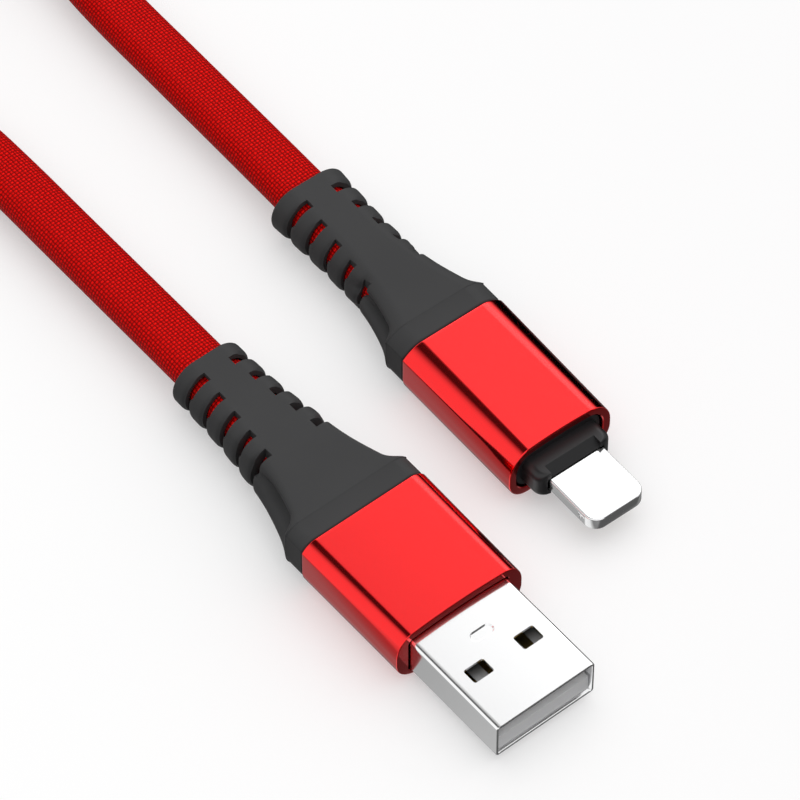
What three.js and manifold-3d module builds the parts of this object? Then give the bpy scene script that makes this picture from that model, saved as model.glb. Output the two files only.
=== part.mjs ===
// A flat-cord charging cable: a four-contact charger plug at one end, an eight-contact phone
// plug at the other, and a braided flat cord between them, its spare length wound as a hank.
// Millimetres, +Z up, the floor at Z = 0, plug tips towards +X.
import * as THREE from "three";
import { mergeVertices } from "three/addons/utils/BufferGeometryUtils.js";
import Module from "manifold-3d";

const wasm = await Module();
wasm.setup();

// ---------- driving dimensions ----------

const FIT = 0.15; // clearance between pieces pressed or moulded together
const THIN_FIT = 0.05; // clearance round the thin contacts
const JOINT_GAP = 0.3; // gap between faces that butt together
const OVERCUT = 1; // how far a cutter runs past the face it opens

const CORD = { width: 6.1, thickness: 3.5, rise: 0.05 };
const WIRE = { diameter: 0.9, pitch: 1.4 };

const CHARGER_SLEEVE = { width: 15.4, height: 6.8, flat: 6, power: 2.4, length: 14.6 };
const SHIELD = { width: 12, height: 4.5, wall: 0.3, corner: 0.5, reach: 12.65, seat: 6 };
const WINDOW = { width: 2.26, length: 1.7, spacing: 6.08, fromTip: 6.2 };
const DIMPLE = { width: 2.6, length: 1.2, depth: 0.15, fromTip: 9.4 };
const SEAM = { gap: 0.12, tongueWidth: 2.2, tongueLength: 1.6, fromTip: 7.4 };
const TONGUE = { thickness: 1.84, recess: 0.35, baseLength: 7.6 };
const CHARGER_CONTACT = { width: 1, thickness: 0.3, outerOffset: 3.5, innerOffset: 1 };
const CHARGER_CONTACT_SETBACK = { outer: 1.2, inner: 2.2 };
const CHARGER_RELIEF = {
  length: 24.55, band: 2.45, waist: 22.1, curve: 2.8, neck: 3, inset: 0.12,
  endWidth: 8.4, waistWidth: 8.4, endHeight: 5.7, spine: 3,
  slots: 5, slotPitch: 2.8, slotWidth: 0.85, slotSpread: 0.31, endRing: 1.9,
};

const PHONE_SLEEVE = { width: 12.6, height: 6.9, flat: 4.4, power: 2.2, length: 17.1, wall: 0.9 };
const TAB = { width: 6.7, thickness: 1.5, corner: 1.4, reach: 9.2, seat: 5, tang: 1.3 };
const LATCH = { length: 0.95, height: 0.8, depth: 0.3, fromTip: 1.9 };
const PAD_WINDOW = { width: 6, length: 2.7, depth: 0.4, fromTip: 1.35 };
const PAD = { count: 8, width: 0.44, length: 2.2, thickness: 0.15, pitch: 0.72 };
const COLLAR = { width: 9.15, height: 3.2, corner: 1.3, reach: 2.35, ear: 1.2, plate: 3, setback: 0.4 };
const NOSE_SLOPE = { width: 5.9, run: 1.35, drop: 0.85 }; // between the two ears
const BOARD = { lead: 1.5, width: 6, thickness: 0.8 }; // lead: the room behind it for the cores
const CHIP = { length: 3, width: 3, thickness: 0.7, fromFront: 1.6 };
const PHONE_RELIEF = {
  length: 23.5, band: 2.55, waist: 12.9, curve: 2.4, neck: 3, inset: 0.12,
  endWidth: 9.1, waistWidth: 8.1, endHeight: 5.8, spine: 3,
  slots: 5, slotPitch: 2.85, slotWidth: 0.85, slotSpread: 0.38, endRing: 2.2,
};

const PLUG_SPACING = 20.6; // between the two sleeve mouths
const PHONE_SETBACK = 9.55; // phone sleeve mouth behind the charger sleeve mouth
const PHONE_TURN = THREE.MathUtils.degToRad(-1.2); // the phone plug lies slightly askew

const HANK = {
  straight: 44, foldRadius: 17.7, layers: 2, tracks: 2, sideGap: 0.2, front: -112, middle: 7.5,
};
const CORD_STEPS = 20;
const RELIEF_STEPS = 9;
const TIE = { length: 9, thickness: 0.8 };

// ---------- finishes ----------

const finish = (color, roughness, metalness) =>
  new THREE.MeshStandardMaterial({ color, roughness, metalness });
const RED_ANODISED = finish(0xe02a2c, 0.35, 0.85);
const BLACK_RUBBER = finish(0x2e2e2e, 0.7, 0);
const NICKEL = finish(0xdfe0e2, 0.2, 1);
const GOLD = finish(0xc9a552, 0.3, 1);
const GREY_PLASTIC = finish(0xb9babc, 0.5, 0);
const BLACK_PLASTIC = finish(0x1d1d1e, 0.5, 0);
const WHITE_PLASTIC = finish(0xe6e4dc, 0.5, 0);
const GREEN_BOARD = finish(0x1f5a35, 0.5, 0);
const RED_BRAID = finish(0xbe0d0a, 0.8, 0);
const BLACK_STRAP = finish(0x1b1b1b, 0.9, 0);
const WIRE_COLOURS = {
  power: finish(0xb8201c, 0.5, 0),
  data_minus: finish(0xe8e6df, 0.5, 0),
  data_plus: finish(0x2c8a3c, 0.5, 0),
  ground: finish(0x1c1c1c, 0.5, 0),
};
const WIRES = Object.keys(WIRE_COLOURS);

// ---------- shapes and solids ----------

// A closed three.js geometry as a solid that can be joined and cut.
function solid(geometry) {
  const bare = geometry.clone();
  bare.deleteAttribute("normal");
  bare.deleteAttribute("uv");
  const merged = mergeVertices(bare, 1e-4);
  return new wasm.Manifold(
    new wasm.Mesh({
      numProp: 3,
      vertProperties: merged.attributes.position.array,
      triVerts: new Uint32Array(merged.index.array),
    }),
  );
}

// A solid back as a three.js mesh with its name and finish.
function part(name, made, material) {
  const { vertProperties, triVerts } = made.getMesh();
  const geometry = new THREE.BufferGeometry();
  geometry.setAttribute("position", new THREE.BufferAttribute(vertProperties, 3));
  geometry.setIndex(new THREE.BufferAttribute(triVerts, 1));
  const mesh = new THREE.Mesh(geometry.toNonIndexed(), material);
  mesh.geometry.computeVertexNormals();
  mesh.name = name;
  return mesh;
}

// A box between two corners.
function block([x0, y0, z0], [x1, y1, z1]) {
  const box = new THREE.BoxGeometry(x1 - x0, y1 - y0, z1 - z0);
  return solid(box.translate((x0 + x1) / 2, (y0 + y1) / 2, (z0 + z1) / 2));
}

// A profile drawn in Y and Z, extruded along X from x0 to x1.
function alongX(shape, x0, x1) {
  const body = new THREE.ExtrudeGeometry(shape, {
    depth: x1 - x0,
    bevelEnabled: false,
    curveSegments: 5,
  });
  const turn = new THREE.Matrix4().makeBasis(
    new THREE.Vector3(0, 1, 0),
    new THREE.Vector3(0, 0, 1),
    new THREE.Vector3(1, 0, 0),
  );
  return solid(body.applyMatrix4(turn).translate(x0, 0, 0));
}

// A plan outline drawn in X and Y, extruded up from z0 to z1.
function upZ(shape, z0, z1, curveSegments = 8) {
  const settings = { depth: z1 - z0, bevelEnabled: false, curveSegments };
  return solid(new THREE.ExtrudeGeometry(shape, settings).translate(0, 0, z0));
}

// A profile drawn in X and Z, as wide as given across Y.
function alongY(shape, width) {
  const body = new THREE.ExtrudeGeometry(shape, { depth: width, bevelEnabled: false });
  return solid(body.rotateX(Math.PI / 2).translate(0, width / 2, 0));
}

// A rectangle with round corners, centred on the origin.
function roundedRect(width, height, radius) {
  const [x, y] = [width / 2, height / 2];
  const shape = new THREE.Shape();
  shape.moveTo(x, y - radius);
  shape.absarc(x - radius, y - radius, radius, 0, Math.PI / 2, false);
  shape.absarc(radius - x, y - radius, radius, Math.PI / 2, Math.PI, false);
  shape.absarc(radius - x, radius - y, radius, Math.PI, 1.5 * Math.PI, false);
  shape.absarc(x - radius, radius - y, radius, 1.5 * Math.PI, 2 * Math.PI, false);
  shape.closePath();
  return shape;
}

// The points of an oval: flat strips top and bottom joined by superelliptic sides.
function ovalPoints({ width, height, flat, power }, quarter = 8) {
  const points = [];
  const side = (width - flat) / 2;
  const bend = (value) => Math.sign(value) * Math.abs(value) ** (2 / power);
  for (let i = 0; i < 4 * quarter; i++) {
    const angle = ((i + 0.5) / (4 * quarter)) * 2 * Math.PI;
    const across = bend(Math.cos(angle));
    const y = across * side + (Math.sign(across) * flat) / 2;
    points.push(new THREE.Vector2(y, (bend(Math.sin(angle)) * height) / 2));
  }
  const top = Math.max(...points.map((p) => p.y));
  for (const p of points) {
    p.y *= height / 2 / top;
  }
  return points;
}

const ovalShape = (oval, quarter) => new THREE.Shape(ovalPoints(oval, quarter));

// An oval made smaller, or with a negative amount larger, by the same amount all round.
const inset = (oval, amount) => ({
  ...oval,
  width: oval.width - 2 * amount,
  height: oval.height - 2 * amount,
});

// A solid skinned over ovals that stand at rising places along X.
function loft(stations, quarter = 7) {
  const rings = stations.map((s) => ovalPoints(s, quarter));
  const count = rings[0].length;
  const positions = [];
  const index = [];
  rings.forEach((ring, k) => ring.forEach((p) => positions.push(stations[k].x, p.x, p.y)));
  for (let k = 0; k + 1 < rings.length; k++) {
    for (let i = 0; i < count; i++) {
      const [a, b] = [k * count + i, k * count + ((i + 1) % count)];
      index.push(a, b, a + count, b, b + count, a + count);
    }
  }
  const last = (rings.length - 1) * count;
  for (let i = 1; i + 1 < count; i++) {
    index.push(0, i + 1, i, last, last + i, last + i + 1);
  }
  const skin = new THREE.BufferGeometry();
  skin.setAttribute("position", new THREE.Float32BufferAttribute(positions, 3));
  return solid(skin.setIndex(index));
}

// A bar of oval section along a path; the section's own X axis stands upright.
function sweep(section, path, steps) {
  return solid(new THREE.ExtrudeGeometry(section, { steps, extrudePath: path }));
}

const disc = (radius, sides) => {
  const points = [];
  for (let i = 0; i < sides; i++) {
    const angle = ((i + 0.5) / sides) * 2 * Math.PI;
    points.push(new THREE.Vector2(radius * Math.cos(angle), radius * Math.sin(angle)));
  }
  return new THREE.Shape(points);
};

const smooth = (t) => THREE.MathUtils.smoothstep(t, 0, 1);
const mix = THREE.MathUtils.lerp;

// ---------- strain relief, the same for both plugs ----------

// The bore that the cord lies in.
const cordBore = () => ({
  width: CORD.width + 2 * FIT,
  height: CORD.thickness + 2 * FIT,
  flat: CORD.width - CORD.thickness,
  power: 2,
});

// The outline at a share of the way from the slotted tail, 0, to the straight band, 1.
function reliefSection(relief, sleeve, along) {
  const front = inset(sleeve, relief.inset);
  const reach = relief.length - relief.band;
  const share = THREE.MathUtils.clamp(1 - ((1 - along) * reach) / relief.waist, 0, 1);
  const rim = (relief.endWidth - relief.waistWidth) * (1 - along) ** 3;
  return {
    width: mix(relief.waistWidth, front.width, share ** relief.curve) + rim,
    height: mix(relief.endHeight, front.height, smooth(share)),
    flat: mix(relief.spine, sleeve.flat, 1 - (1 - along) ** 2),
    power: mix(2, sleeve.power, share),
  };
}

// A moulded tail: slotted ribs, a concave flare, a straight band and a neck in the sleeve.
function strainRelief(relief, sleeve, neckSection) {
  const front = -sleeve.length - FIT;
  const tail = front - relief.length;
  const bandStart = front - relief.band;
  const round = 0.35;
  const stations = [{ x: tail, ...inset(reliefSection(relief, sleeve, 0), round) }];
  for (let i = 0; i <= RELIEF_STEPS; i++) {
    const along = i / RELIEF_STEPS;
    stations.push({ x: mix(tail + round, bandStart, along), ...reliefSection(relief, sleeve, along) });
  }
  stations.push({ x: front, ...reliefSection(relief, sleeve, 1) });
  const neck = alongX(neckSection, front - relief.band, front + FIT + relief.neck);
  let body = loft(stations).add(neck);
  const bore = ovalShape(cordBore(), 4);
  body = body.subtract(alongX(bore, tail - OVERCUT, front + FIT + relief.neck + OVERCUT));
  for (let i = 0; i < relief.slots; i++) {
    const x = tail + relief.endRing + i * relief.slotPitch;
    const inner = relief.spine / 2 + i * relief.slotSpread;
    body = body.subtract(slotCutter(relief, x, inner)).subtract(slotCutter(relief, x, -inner));
  }
  return body;
}

// One slot: it leaves the spines above and below and opens the flank down to the cord.
function slotCutter(relief, x, inner) {
  const outer = Math.sign(inner) * relief.endWidth;
  const [y0, y1] = inner > 0 ? [inner, outer] : [outer, inner];
  return block([x, y0, -relief.endHeight], [x + relief.slotWidth, y1, relief.endHeight]);
}

// Where the cord's end face lies, measured along the plug's axis.
const cordEnd = (sleeve, relief) => relief.neck - sleeve.length;

// ---------- charger plug ----------

const shieldInner = {
  width: SHIELD.width - 2 * SHIELD.wall,
  height: SHIELD.height - 2 * SHIELD.wall,
};
const tongueBottom = FIT - shieldInner.height / 2;
const tongueTop = tongueBottom + TONGUE.thickness;
const tongueHalfWidth = shieldInner.width / 2 - FIT;
const contactPlaces = {
  power: -CHARGER_CONTACT.outerOffset,
  data_minus: -CHARGER_CONTACT.innerOffset,
  data_plus: CHARGER_CONTACT.innerOffset,
  ground: CHARGER_CONTACT.outerOffset,
};
const isOuterContact = (wire) => Math.abs(contactPlaces[wire]) === CHARGER_CONTACT.outerOffset;

// The folded tin shell: four latch windows, a stamped dimple and the joint of its fold below.
function chargerShield() {
  const { width, height, wall, corner, reach, seat } = SHIELD;
  const shell = roundedRect(width, height, corner);
  shell.holes.push(roundedRect(width - 2 * wall, height - 2 * wall, corner - wall / 2));
  let body = alongX(shell, -seat, reach);
  const middle = reach - WINDOW.fromTip;
  for (const side of [-1, 1]) {
    const y = (side * WINDOW.spacing) / 2;
    body = body.subtract(
      block(
        [middle - WINDOW.length / 2, y - WINDOW.width / 2, -height],
        [middle + WINDOW.length / 2, y + WINDOW.width / 2, height],
      ),
    );
  }
  return body.subtract(shieldDimple()).subtract(shieldSeam());
}

function shieldDimple() {
  const outline = roundedRect(DIMPLE.length, DIMPLE.width, DIMPLE.length / 2 - THIN_FIT);
  const top = SHIELD.height / 2;
  const cutter = upZ(outline, top - DIMPLE.depth, top + OVERCUT, 4);
  return cutter.translate([SHIELD.reach - DIMPLE.fromTip, 0, 0]);
}

// The seam along the underside, with the dovetail that locks it.
function shieldSeam() {
  const { gap, tongueWidth, tongueLength, fromTip } = SEAM;
  const middle = SHIELD.reach - fromTip;
  const [x0, x1] = [middle - tongueLength / 2, middle + tongueLength / 2];
  const [rear, front] = [-SHIELD.seat - OVERCUT, SHIELD.reach + OVERCUT];
  const splay = tongueWidth / 3;
  const outline = [
    [rear, 0],
    [x0, 0],
    [x0 - splay, tongueWidth],
    [x1 + splay, tongueWidth],
    [x1, 0],
    [front, 0],
    [front, -gap],
    [x1 - gap, -gap],
    [x1 + splay - 2 * gap, tongueWidth - gap],
    [x0 - splay + 2 * gap, tongueWidth - gap],
    [x0 + gap, -gap],
    [rear, -gap],
  ];
  const seam = new THREE.Shape(outline.map((p) => new THREE.Vector2(...p)));
  return upZ(seam, -SHIELD.height, -shieldInner.height / 2 + SHIELD.wall / 2);
}

// The moulded contact carrier: a base that fills the shell and a tongue along its floor.
function chargerTongue() {
  const rear = FIT - SHIELD.seat;
  const front = SHIELD.reach - TONGUE.recess;
  const baseTop = shieldInner.height / 2 - FIT;
  const w = tongueHalfWidth;
  const base = block([rear, -w, tongueBottom], [rear + TONGUE.baseLength, w, baseTop]);
  let body = base.add(block([rear, -w, tongueBottom], [front, w, tongueTop]));
  for (const wire of WIRES) {
    body = body.subtract(chargerContactBar(wire, THIN_FIT, OVERCUT));
  }
  return body;
}

// A contact strip in its groove; grown by a clearance it becomes the groove's cutter.
function chargerContactBar(wire, grow, past) {
  const y = contactPlaces[wire];
  const half = CHARGER_CONTACT.width / 2 + grow;
  const setback = CHARGER_CONTACT_SETBACK[isOuterContact(wire) ? "outer" : "inner"];
  const front = SHIELD.reach - TONGUE.recess - setback + grow;
  const bottom = tongueTop - CHARGER_CONTACT.thickness - grow;
  const top = tongueTop + (past ? grow : 0);
  return block([-SHIELD.seat - past, y - half, bottom], [front, y + half, top]);
}

// One core's bend, from where it is soldered to its place in the flat cord.
function coreBend([x0, y0, z0], [x1, y1, z1]) {
  const middle = (x0 + x1) / 2;
  return new THREE.CubicBezierCurve3(
    new THREE.Vector3(x0, y0, z0),
    new THREE.Vector3(middle, y0, z0),
    new THREE.Vector3(middle, y1, z1),
    new THREE.Vector3(x1, y1, z1),
  );
}

const coreBar = (start, end) => sweep(disc(WIRE.diameter / 2, 8), coreBend(start, end), 6);

// The channel for a core: the same bend with clearance, run out straight at both ends.
function coreChannel(start, end) {
  const path = new THREE.CurvePath();
  const first = new THREE.Vector3(...start);
  const last = new THREE.Vector3(...end);
  const out = new THREE.Vector3(OVERCUT, 0, 0);
  path.add(new THREE.LineCurve3(first.clone().add(out), first));
  path.add(coreBend(start, end));
  path.add(new THREE.LineCurve3(last, last.clone().sub(out)));
  return sweep(disc(WIRE.diameter / 2 + FIT, 8), path, 9);
}

const coreOffset = (order) => (order - (WIRES.length - 1) / 2) * WIRE.pitch;

function chargerCoreEnds(order) {
  const startZ = tongueTop - CHARGER_CONTACT.thickness / 2;
  const startX = -SHIELD.seat - JOINT_GAP;
  const endX = cordEnd(CHARGER_SLEEVE, CHARGER_RELIEF) + JOINT_GAP;
  return [
    [startX, contactPlaces[WIRES[order]], startZ],
    [endX, coreOffset(order), 0],
  ];
}

const chargerBore = (clearance) =>
  roundedRect(SHIELD.width + 2 * clearance, SHIELD.height + 2 * clearance, SHIELD.corner);

// The hard block that holds the soldered cores behind the shell.
function chargerInnerMould() {
  const front = -SHIELD.seat - JOINT_GAP;
  const rear = cordEnd(CHARGER_SLEEVE, CHARGER_RELIEF) + JOINT_GAP;
  let body = alongX(chargerBore(0), rear, front);
  WIRES.forEach((_, order) => {
    body = body.subtract(coreChannel(...chargerCoreEnds(order)));
  });
  return body;
}

function chargerSleeve() {
  const { length } = CHARGER_SLEEVE;
  const outer = alongX(ovalShape(CHARGER_SLEEVE), -length, 0);
  return outer.subtract(alongX(chargerBore(FIT), -length - OVERCUT, OVERCUT));
}

function chargerPlug() {
  const plug = new THREE.Group();
  plug.add(part("charger_shield", chargerShield(), NICKEL));
  plug.add(part("charger_tongue", chargerTongue(), GREY_PLASTIC));
  plug.add(part("charger_inner_mould", chargerInnerMould(), WHITE_PLASTIC));
  plug.add(part("charger_sleeve", chargerSleeve(), RED_ANODISED));
  const relief = strainRelief(CHARGER_RELIEF, CHARGER_SLEEVE, chargerBore(0));
  plug.add(part("charger_strain_relief", relief, BLACK_RUBBER));
  WIRES.forEach((wire, order) => {
    plug.add(part(`charger_contact_${wire}`, chargerContactBar(wire, 0, 0), GOLD));
    const core = coreBar(...chargerCoreEnds(order));
    plug.add(part(`charger_wire_${wire}`, core, WIRE_COLOURS[wire]));
  });
  plug.position.z = CHARGER_SLEEVE.height / 2;
  return plug;
}

// ---------- phone plug ----------

const phoneBore = inset(PHONE_SLEEVE, PHONE_SLEEVE.wall);
const boardFront = -TAB.seat - JOINT_GAP;
const phoneCoreEnd = cordEnd(PHONE_SLEEVE, PHONE_RELIEF) + JOINT_GAP;
const boardRear = phoneCoreEnd + BOARD.lead;
const pocketTop = BOARD.thickness / 2 + CHIP.thickness + 2 * JOINT_GAP;

// The tab's plan outline, square where it is held and round at its front corners.
function tabOutline() {
  const { width, corner, reach, seat } = TAB;
  const y = width / 2;
  const shape = new THREE.Shape();
  shape.moveTo(-seat, -y);
  shape.lineTo(reach - corner, -y);
  shape.absarc(reach - corner, corner - y, corner, -Math.PI / 2, 0, false);
  shape.absarc(reach - corner, y - corner, corner, 0, Math.PI / 2, false);
  shape.lineTo(-seat, y);
  shape.closePath();
  return shape;
}

// The recess in one edge of the tab that the socket's spring drops into.
function latchRecess(side) {
  const x = TAB.reach - LATCH.fromTip;
  const depth = TAB.width / 2 - LATCH.depth;
  const [y0, y1] = side > 0 ? [depth, TAB.width] : [-TAB.width, -depth];
  const [halfLength, halfHeight] = [LATCH.length / 2, LATCH.height / 2];
  return block([x - halfLength, y0, -halfHeight], [x + halfLength, y1, halfHeight]);
}

// The window under the tab that takes the contact block, or the block itself.
function padWindow(shrink, past) {
  const front = TAB.reach - PAD_WINDOW.fromTip;
  const outline = roundedRect(
    PAD_WINDOW.length - 2 * shrink,
    PAD_WINDOW.width - 2 * shrink,
    PAD_WINDOW.length / 4,
  );
  const low = -TAB.thickness / 2 - past;
  const cut = upZ(outline, low, PAD_WINDOW.depth - TAB.thickness / 2 - shrink, 4);
  return cut.translate([front - PAD_WINDOW.length / 2, 0, 0]);
}

// The tab; its tang inside the nose is a little thinner.
function phoneTab() {
  const { width, thickness, tang, seat } = TAB;
  let body = upZ(tabOutline(), -thickness / 2, thickness / 2, 6).subtract(padWindow(0, OVERCUT));
  for (const side of [-1, 1]) {
    const [low, high] = [(side * tang) / 2, side * thickness].sort((a, b) => a - b);
    body = body.subtract(block([-seat - OVERCUT, -width, low], [COLLAR.reach + FIT, width, high]));
    body = body.subtract(latchRecess(side));
  }
  return body;
}

// One gold pad, set in the underside of its block; grown it cuts its own seat.
function phonePad(order, grow, past) {
  const x = TAB.reach - PAD_WINDOW.fromTip - PAD_WINDOW.length / 2;
  const y = (order - (PAD.count - 1) / 2) * PAD.pitch;
  const low = -TAB.thickness / 2;
  const [halfLength, halfWidth] = [PAD.length / 2 + grow, PAD.width / 2 + grow];
  return block(
    [x - halfLength, y - halfWidth, low - past],
    [x + halfLength, y + halfWidth, low + PAD.thickness + grow],
  );
}

function phoneContactBlock() {
  let body = padWindow(THIN_FIT, 0);
  for (let order = 0; order < PAD.count; order++) {
    body = body.subtract(phonePad(order, THIN_FIT, OVERCUT));
  }
  return body;
}

// The wedge that slopes the nose's upper or lower face down to the tab between its ears.
function noseSlope(side) {
  const { height, reach } = COLLAR;
  const { width, run, drop } = NOSE_SLOPE;
  const outline = [
    [reach - run, height / 2],
    [reach + OVERCUT, height / 2 - (drop * (run + OVERCUT)) / run],
    [reach + OVERCUT, height / 2 + OVERCUT],
    [reach - run, height / 2 + OVERCUT],
  ];
  return alongY(new THREE.Shape(outline.map(([x, z]) => new THREE.Vector2(x, side * z))), width);
}

// The black nose in the sleeve's mouth, its plate set back and its front hugging the tab.
function phoneCollar() {
  const { width, height, corner, reach, ear, plate, setback } = COLLAR;
  const seat = alongX(ovalShape(inset(phoneBore, FIT)), -plate, -setback);
  let nose = alongX(roundedRect(width, height, corner), -plate, reach);
  nose = nose.subtract(noseSlope(1)).subtract(noseSlope(-1));
  const plan = upZ(roundedRect(plate + reach, width, ear), -height, height, 4);
  nose = nose.intersect(plan.translate([(reach - plate) / 2, 0, 0]));
  const half = TAB.width / 2 + FIT;
  const high = TAB.tang / 2 + FIT;
  const slot = block([-plate - OVERCUT, -half, -high], [reach + OVERCUT, half, high]);
  return seat.add(nose).subtract(slot);
}

function phoneBoard() {
  const { width, thickness } = BOARD;
  return block([boardRear, -width / 2, -thickness / 2], [boardFront, width / 2, thickness / 2]);
}

function phoneChip() {
  const front = boardFront - CHIP.fromFront;
  const base = BOARD.thickness / 2 + THIN_FIT;
  return block(
    [front - CHIP.length, -CHIP.width / 2, base],
    [front, CHIP.width / 2, base + CHIP.thickness],
  );
}

function phoneCoreEnds(order) {
  const y = coreOffset(order);
  return [
    [boardRear - JOINT_GAP, y, 0],
    [phoneCoreEnd, y, 0],
  ];
}

// The hard block behind the collar, with a pocket for the board and a channel for each core.
function phoneInnerMould() {
  const front = -COLLAR.plate - JOINT_GAP;
  const half = TAB.width / 2 + FIT;
  let body = alongX(ovalShape(inset(phoneBore, FIT)), phoneCoreEnd, front);
  body = body.subtract(
    block(
      [boardRear - JOINT_GAP, -half, -TAB.tang / 2 - FIT],
      [front + OVERCUT, half, pocketTop],
    ),
  );
  WIRES.forEach((_, order) => {
    body = body.subtract(coreChannel(...phoneCoreEnds(order)));
  });
  return body;
}

function phoneSleeve() {
  const outer = alongX(ovalShape(PHONE_SLEEVE), -PHONE_SLEEVE.length, 0);
  return outer.subtract(alongX(ovalShape(phoneBore), -PHONE_SLEEVE.length - OVERCUT, OVERCUT));
}

function phonePlug() {
  const plug = new THREE.Group();
  plug.add(part("phone_tab", phoneTab(), NICKEL));
  plug.add(part("phone_contact_block", phoneContactBlock(), BLACK_PLASTIC));
  for (let order = 0; order < PAD.count; order++) {
    plug.add(part(`phone_contact_${order + 1}`, phonePad(order, 0, 0), GOLD));
  }
  plug.add(part("phone_collar", phoneCollar(), BLACK_PLASTIC));
  plug.add(part("phone_board", phoneBoard(), GREEN_BOARD));
  plug.add(part("phone_chip", phoneChip(), BLACK_PLASTIC));
  plug.add(part("phone_inner_mould", phoneInnerMould(), WHITE_PLASTIC));
  plug.add(part("phone_sleeve", phoneSleeve(), RED_ANODISED));
  const neck = ovalShape(inset(phoneBore, FIT));
  const relief = strainRelief(PHONE_RELIEF, PHONE_SLEEVE, neck);
  plug.add(part("phone_strain_relief", relief, BLACK_RUBBER));
  WIRES.forEach((wire, order) => {
    const core = coreBar(...phoneCoreEnds(order));
    plug.add(part(`phone_wire_${wire}`, core, WIRE_COLOURS[wire]));
  });
  plug.position.set(-PHONE_SETBACK, PLUG_SPACING, PHONE_SLEEVE.height / 2);
  plug.rotation.z = PHONE_TURN;
  return plug;
}

// ---------- cord ----------

// The hank stands on its two ties; its turns lie on edge, side by side and in layers.
const trackPitch = CORD.thickness + HANK.sideGap;
const layerPitch = CORD.width + HANK.sideGap;
const hankFloor = TIE.thickness + JOINT_GAP + CORD.rise;
const hankY = HANK.middle;
const hankInner = HANK.foldRadius - CORD.thickness / 2;
const hankOuter = HANK.foldRadius + (HANK.tracks - 1) * trackPitch + CORD.thickness / 2;
const foldCentre = HANK.front - hankOuter; // where the folds nearest the plugs turn round
const hankHeight = (HANK.layers - 1) * layerPitch + CORD.width;
const outerTrack = HANK.foldRadius + (HANK.tracks - 1) * trackPitch;
const lowLayer = hankFloor + CORD.width / 2;
const highLayer = lowLayer + (HANK.layers - 1) * layerPitch;

const cordSection = () => {
  const oval = ovalPoints(
    { width: CORD.width, height: CORD.thickness, flat: CORD.width - CORD.thickness, power: 2 },
    3,
  );
  return new THREE.Shape(oval.map((p) => new THREE.Vector2(p.y, -p.x)));
};

// The charger plug's cord after its strain relief: straight, then outward to the hank.
const CHARGER_ROUTE = [
  [-52, 0, 3.3],
  [-62, 0, 3.2],
  [-72, 0, 3.1],
  [-80, -0.4, 3],
  [-88, -2.6, 2.9],
  [-96, -6.2, 3],
  [-104, -9.8, 3.5],
  [-112, -12.5, 4],
];

// The phone plug's cord after its strain relief: straight, then up to the hank's upper layer.
const PHONE_ROUTE = [
  [-60, 21.66, 3.4],
  [-72, 21.91, 3.25],
  [-84, 22.16, 3.2],
  [-92, 22.8, 3.9],
  [-100, 24.4, 5.7],
  [-108, 26.6, 8],
  [-115, 28.2, 9.8],
];

function cordRun(route) {
  const path = new THREE.CatmullRomCurve3(route.map((p) => new THREE.Vector3(...p)));
  return sweep(cordSection(), path, CORD_STEPS);
}

const onPlugAxis = (plug, x) =>
  new THREE.Vector3(x, 0, 0).applyEuler(plug.rotation).add(plug.position).toArray();

// The straight start of a cord, from its end in the plug to just past the strain relief.
function throughRelief(plug, sleeve, relief) {
  const end = cordEnd(sleeve, relief);
  const tail = -sleeve.length - FIT - relief.length;
  return [end, end - relief.neck, (end + tail) / 2, tail, tail - relief.neck].map((x) =>
    onPlugAxis(plug, x),
  );
}

// A race-track outline round the hank's middle.
function raceTrack(radius) {
  const far = foldCentre - HANK.straight;
  const shape = new THREE.Shape();
  shape.moveTo(far, hankY - radius);
  shape.lineTo(foldCentre, hankY - radius);
  shape.absarc(foldCentre, hankY, radius, -Math.PI / 2, Math.PI / 2, false);
  shape.lineTo(far, hankY + radius);
  shape.absarc(far, hankY, radius, Math.PI / 2, 1.5 * Math.PI, false);
  return shape;
}

function cordHank() {
  const ring = raceTrack(hankOuter);
  ring.holes.push(raceTrack(hankInner));
  return upZ(ring, hankFloor, hankFloor + hankHeight, 12);
}

// A strap wrapped once round all the turns on one side of the hank.
function cordTie(side) {
  const { length, thickness } = TIE;
  const middle = foldCentre - HANK.straight / 2;
  const width = hankOuter - hankInner + 2 * JOINT_GAP;
  const height = hankHeight + 2 * JOINT_GAP;
  const band = roundedRect(width + 2 * thickness, height + 2 * thickness, thickness * 1.6);
  band.holes.push(roundedRect(width, height, thickness));
  const strap = alongX(band, middle - length / 2, middle + length / 2);
  const y = hankY + (side * (hankOuter + hankInner)) / 2;
  return strap.translate([0, y, hankFloor + hankHeight / 2]);
}

function cord(charger, phone) {
  const group = new THREE.Group();
  const chargerStart = throughRelief(charger, CHARGER_SLEEVE, CHARGER_RELIEF);
  const phoneStart = throughRelief(phone, PHONE_SLEEVE, PHONE_RELIEF);
  const clear = hankOuter + JOINT_GAP;
  const entryX = foldCentre + Math.sqrt(clear ** 2 - (outerTrack - CORD.width / 2) ** 2);
  const lowTurn = [entryX, hankY - outerTrack, lowLayer];
  const highTurn = [entryX, hankY + outerTrack, highLayer];
  const chargerRun = cordRun([...chargerStart, ...CHARGER_ROUTE, lowTurn]);
  const phoneRun = cordRun([...phoneStart, ...PHONE_ROUTE, highTurn]);
  group.add(part("cord_charger_run", chargerRun, RED_BRAID));
  group.add(part("cord_phone_run", phoneRun, RED_BRAID));
  group.add(part("cord_hank", cordHank(), RED_BRAID));
  group.add(part("cord_tie_left", cordTie(-1), BLACK_STRAP));
  group.add(part("cord_tie_right", cordTie(1), BLACK_STRAP));
  return group;
}

// ---------- the whole cable, its origin on the floor under the middle of the two plugs ----------

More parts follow.
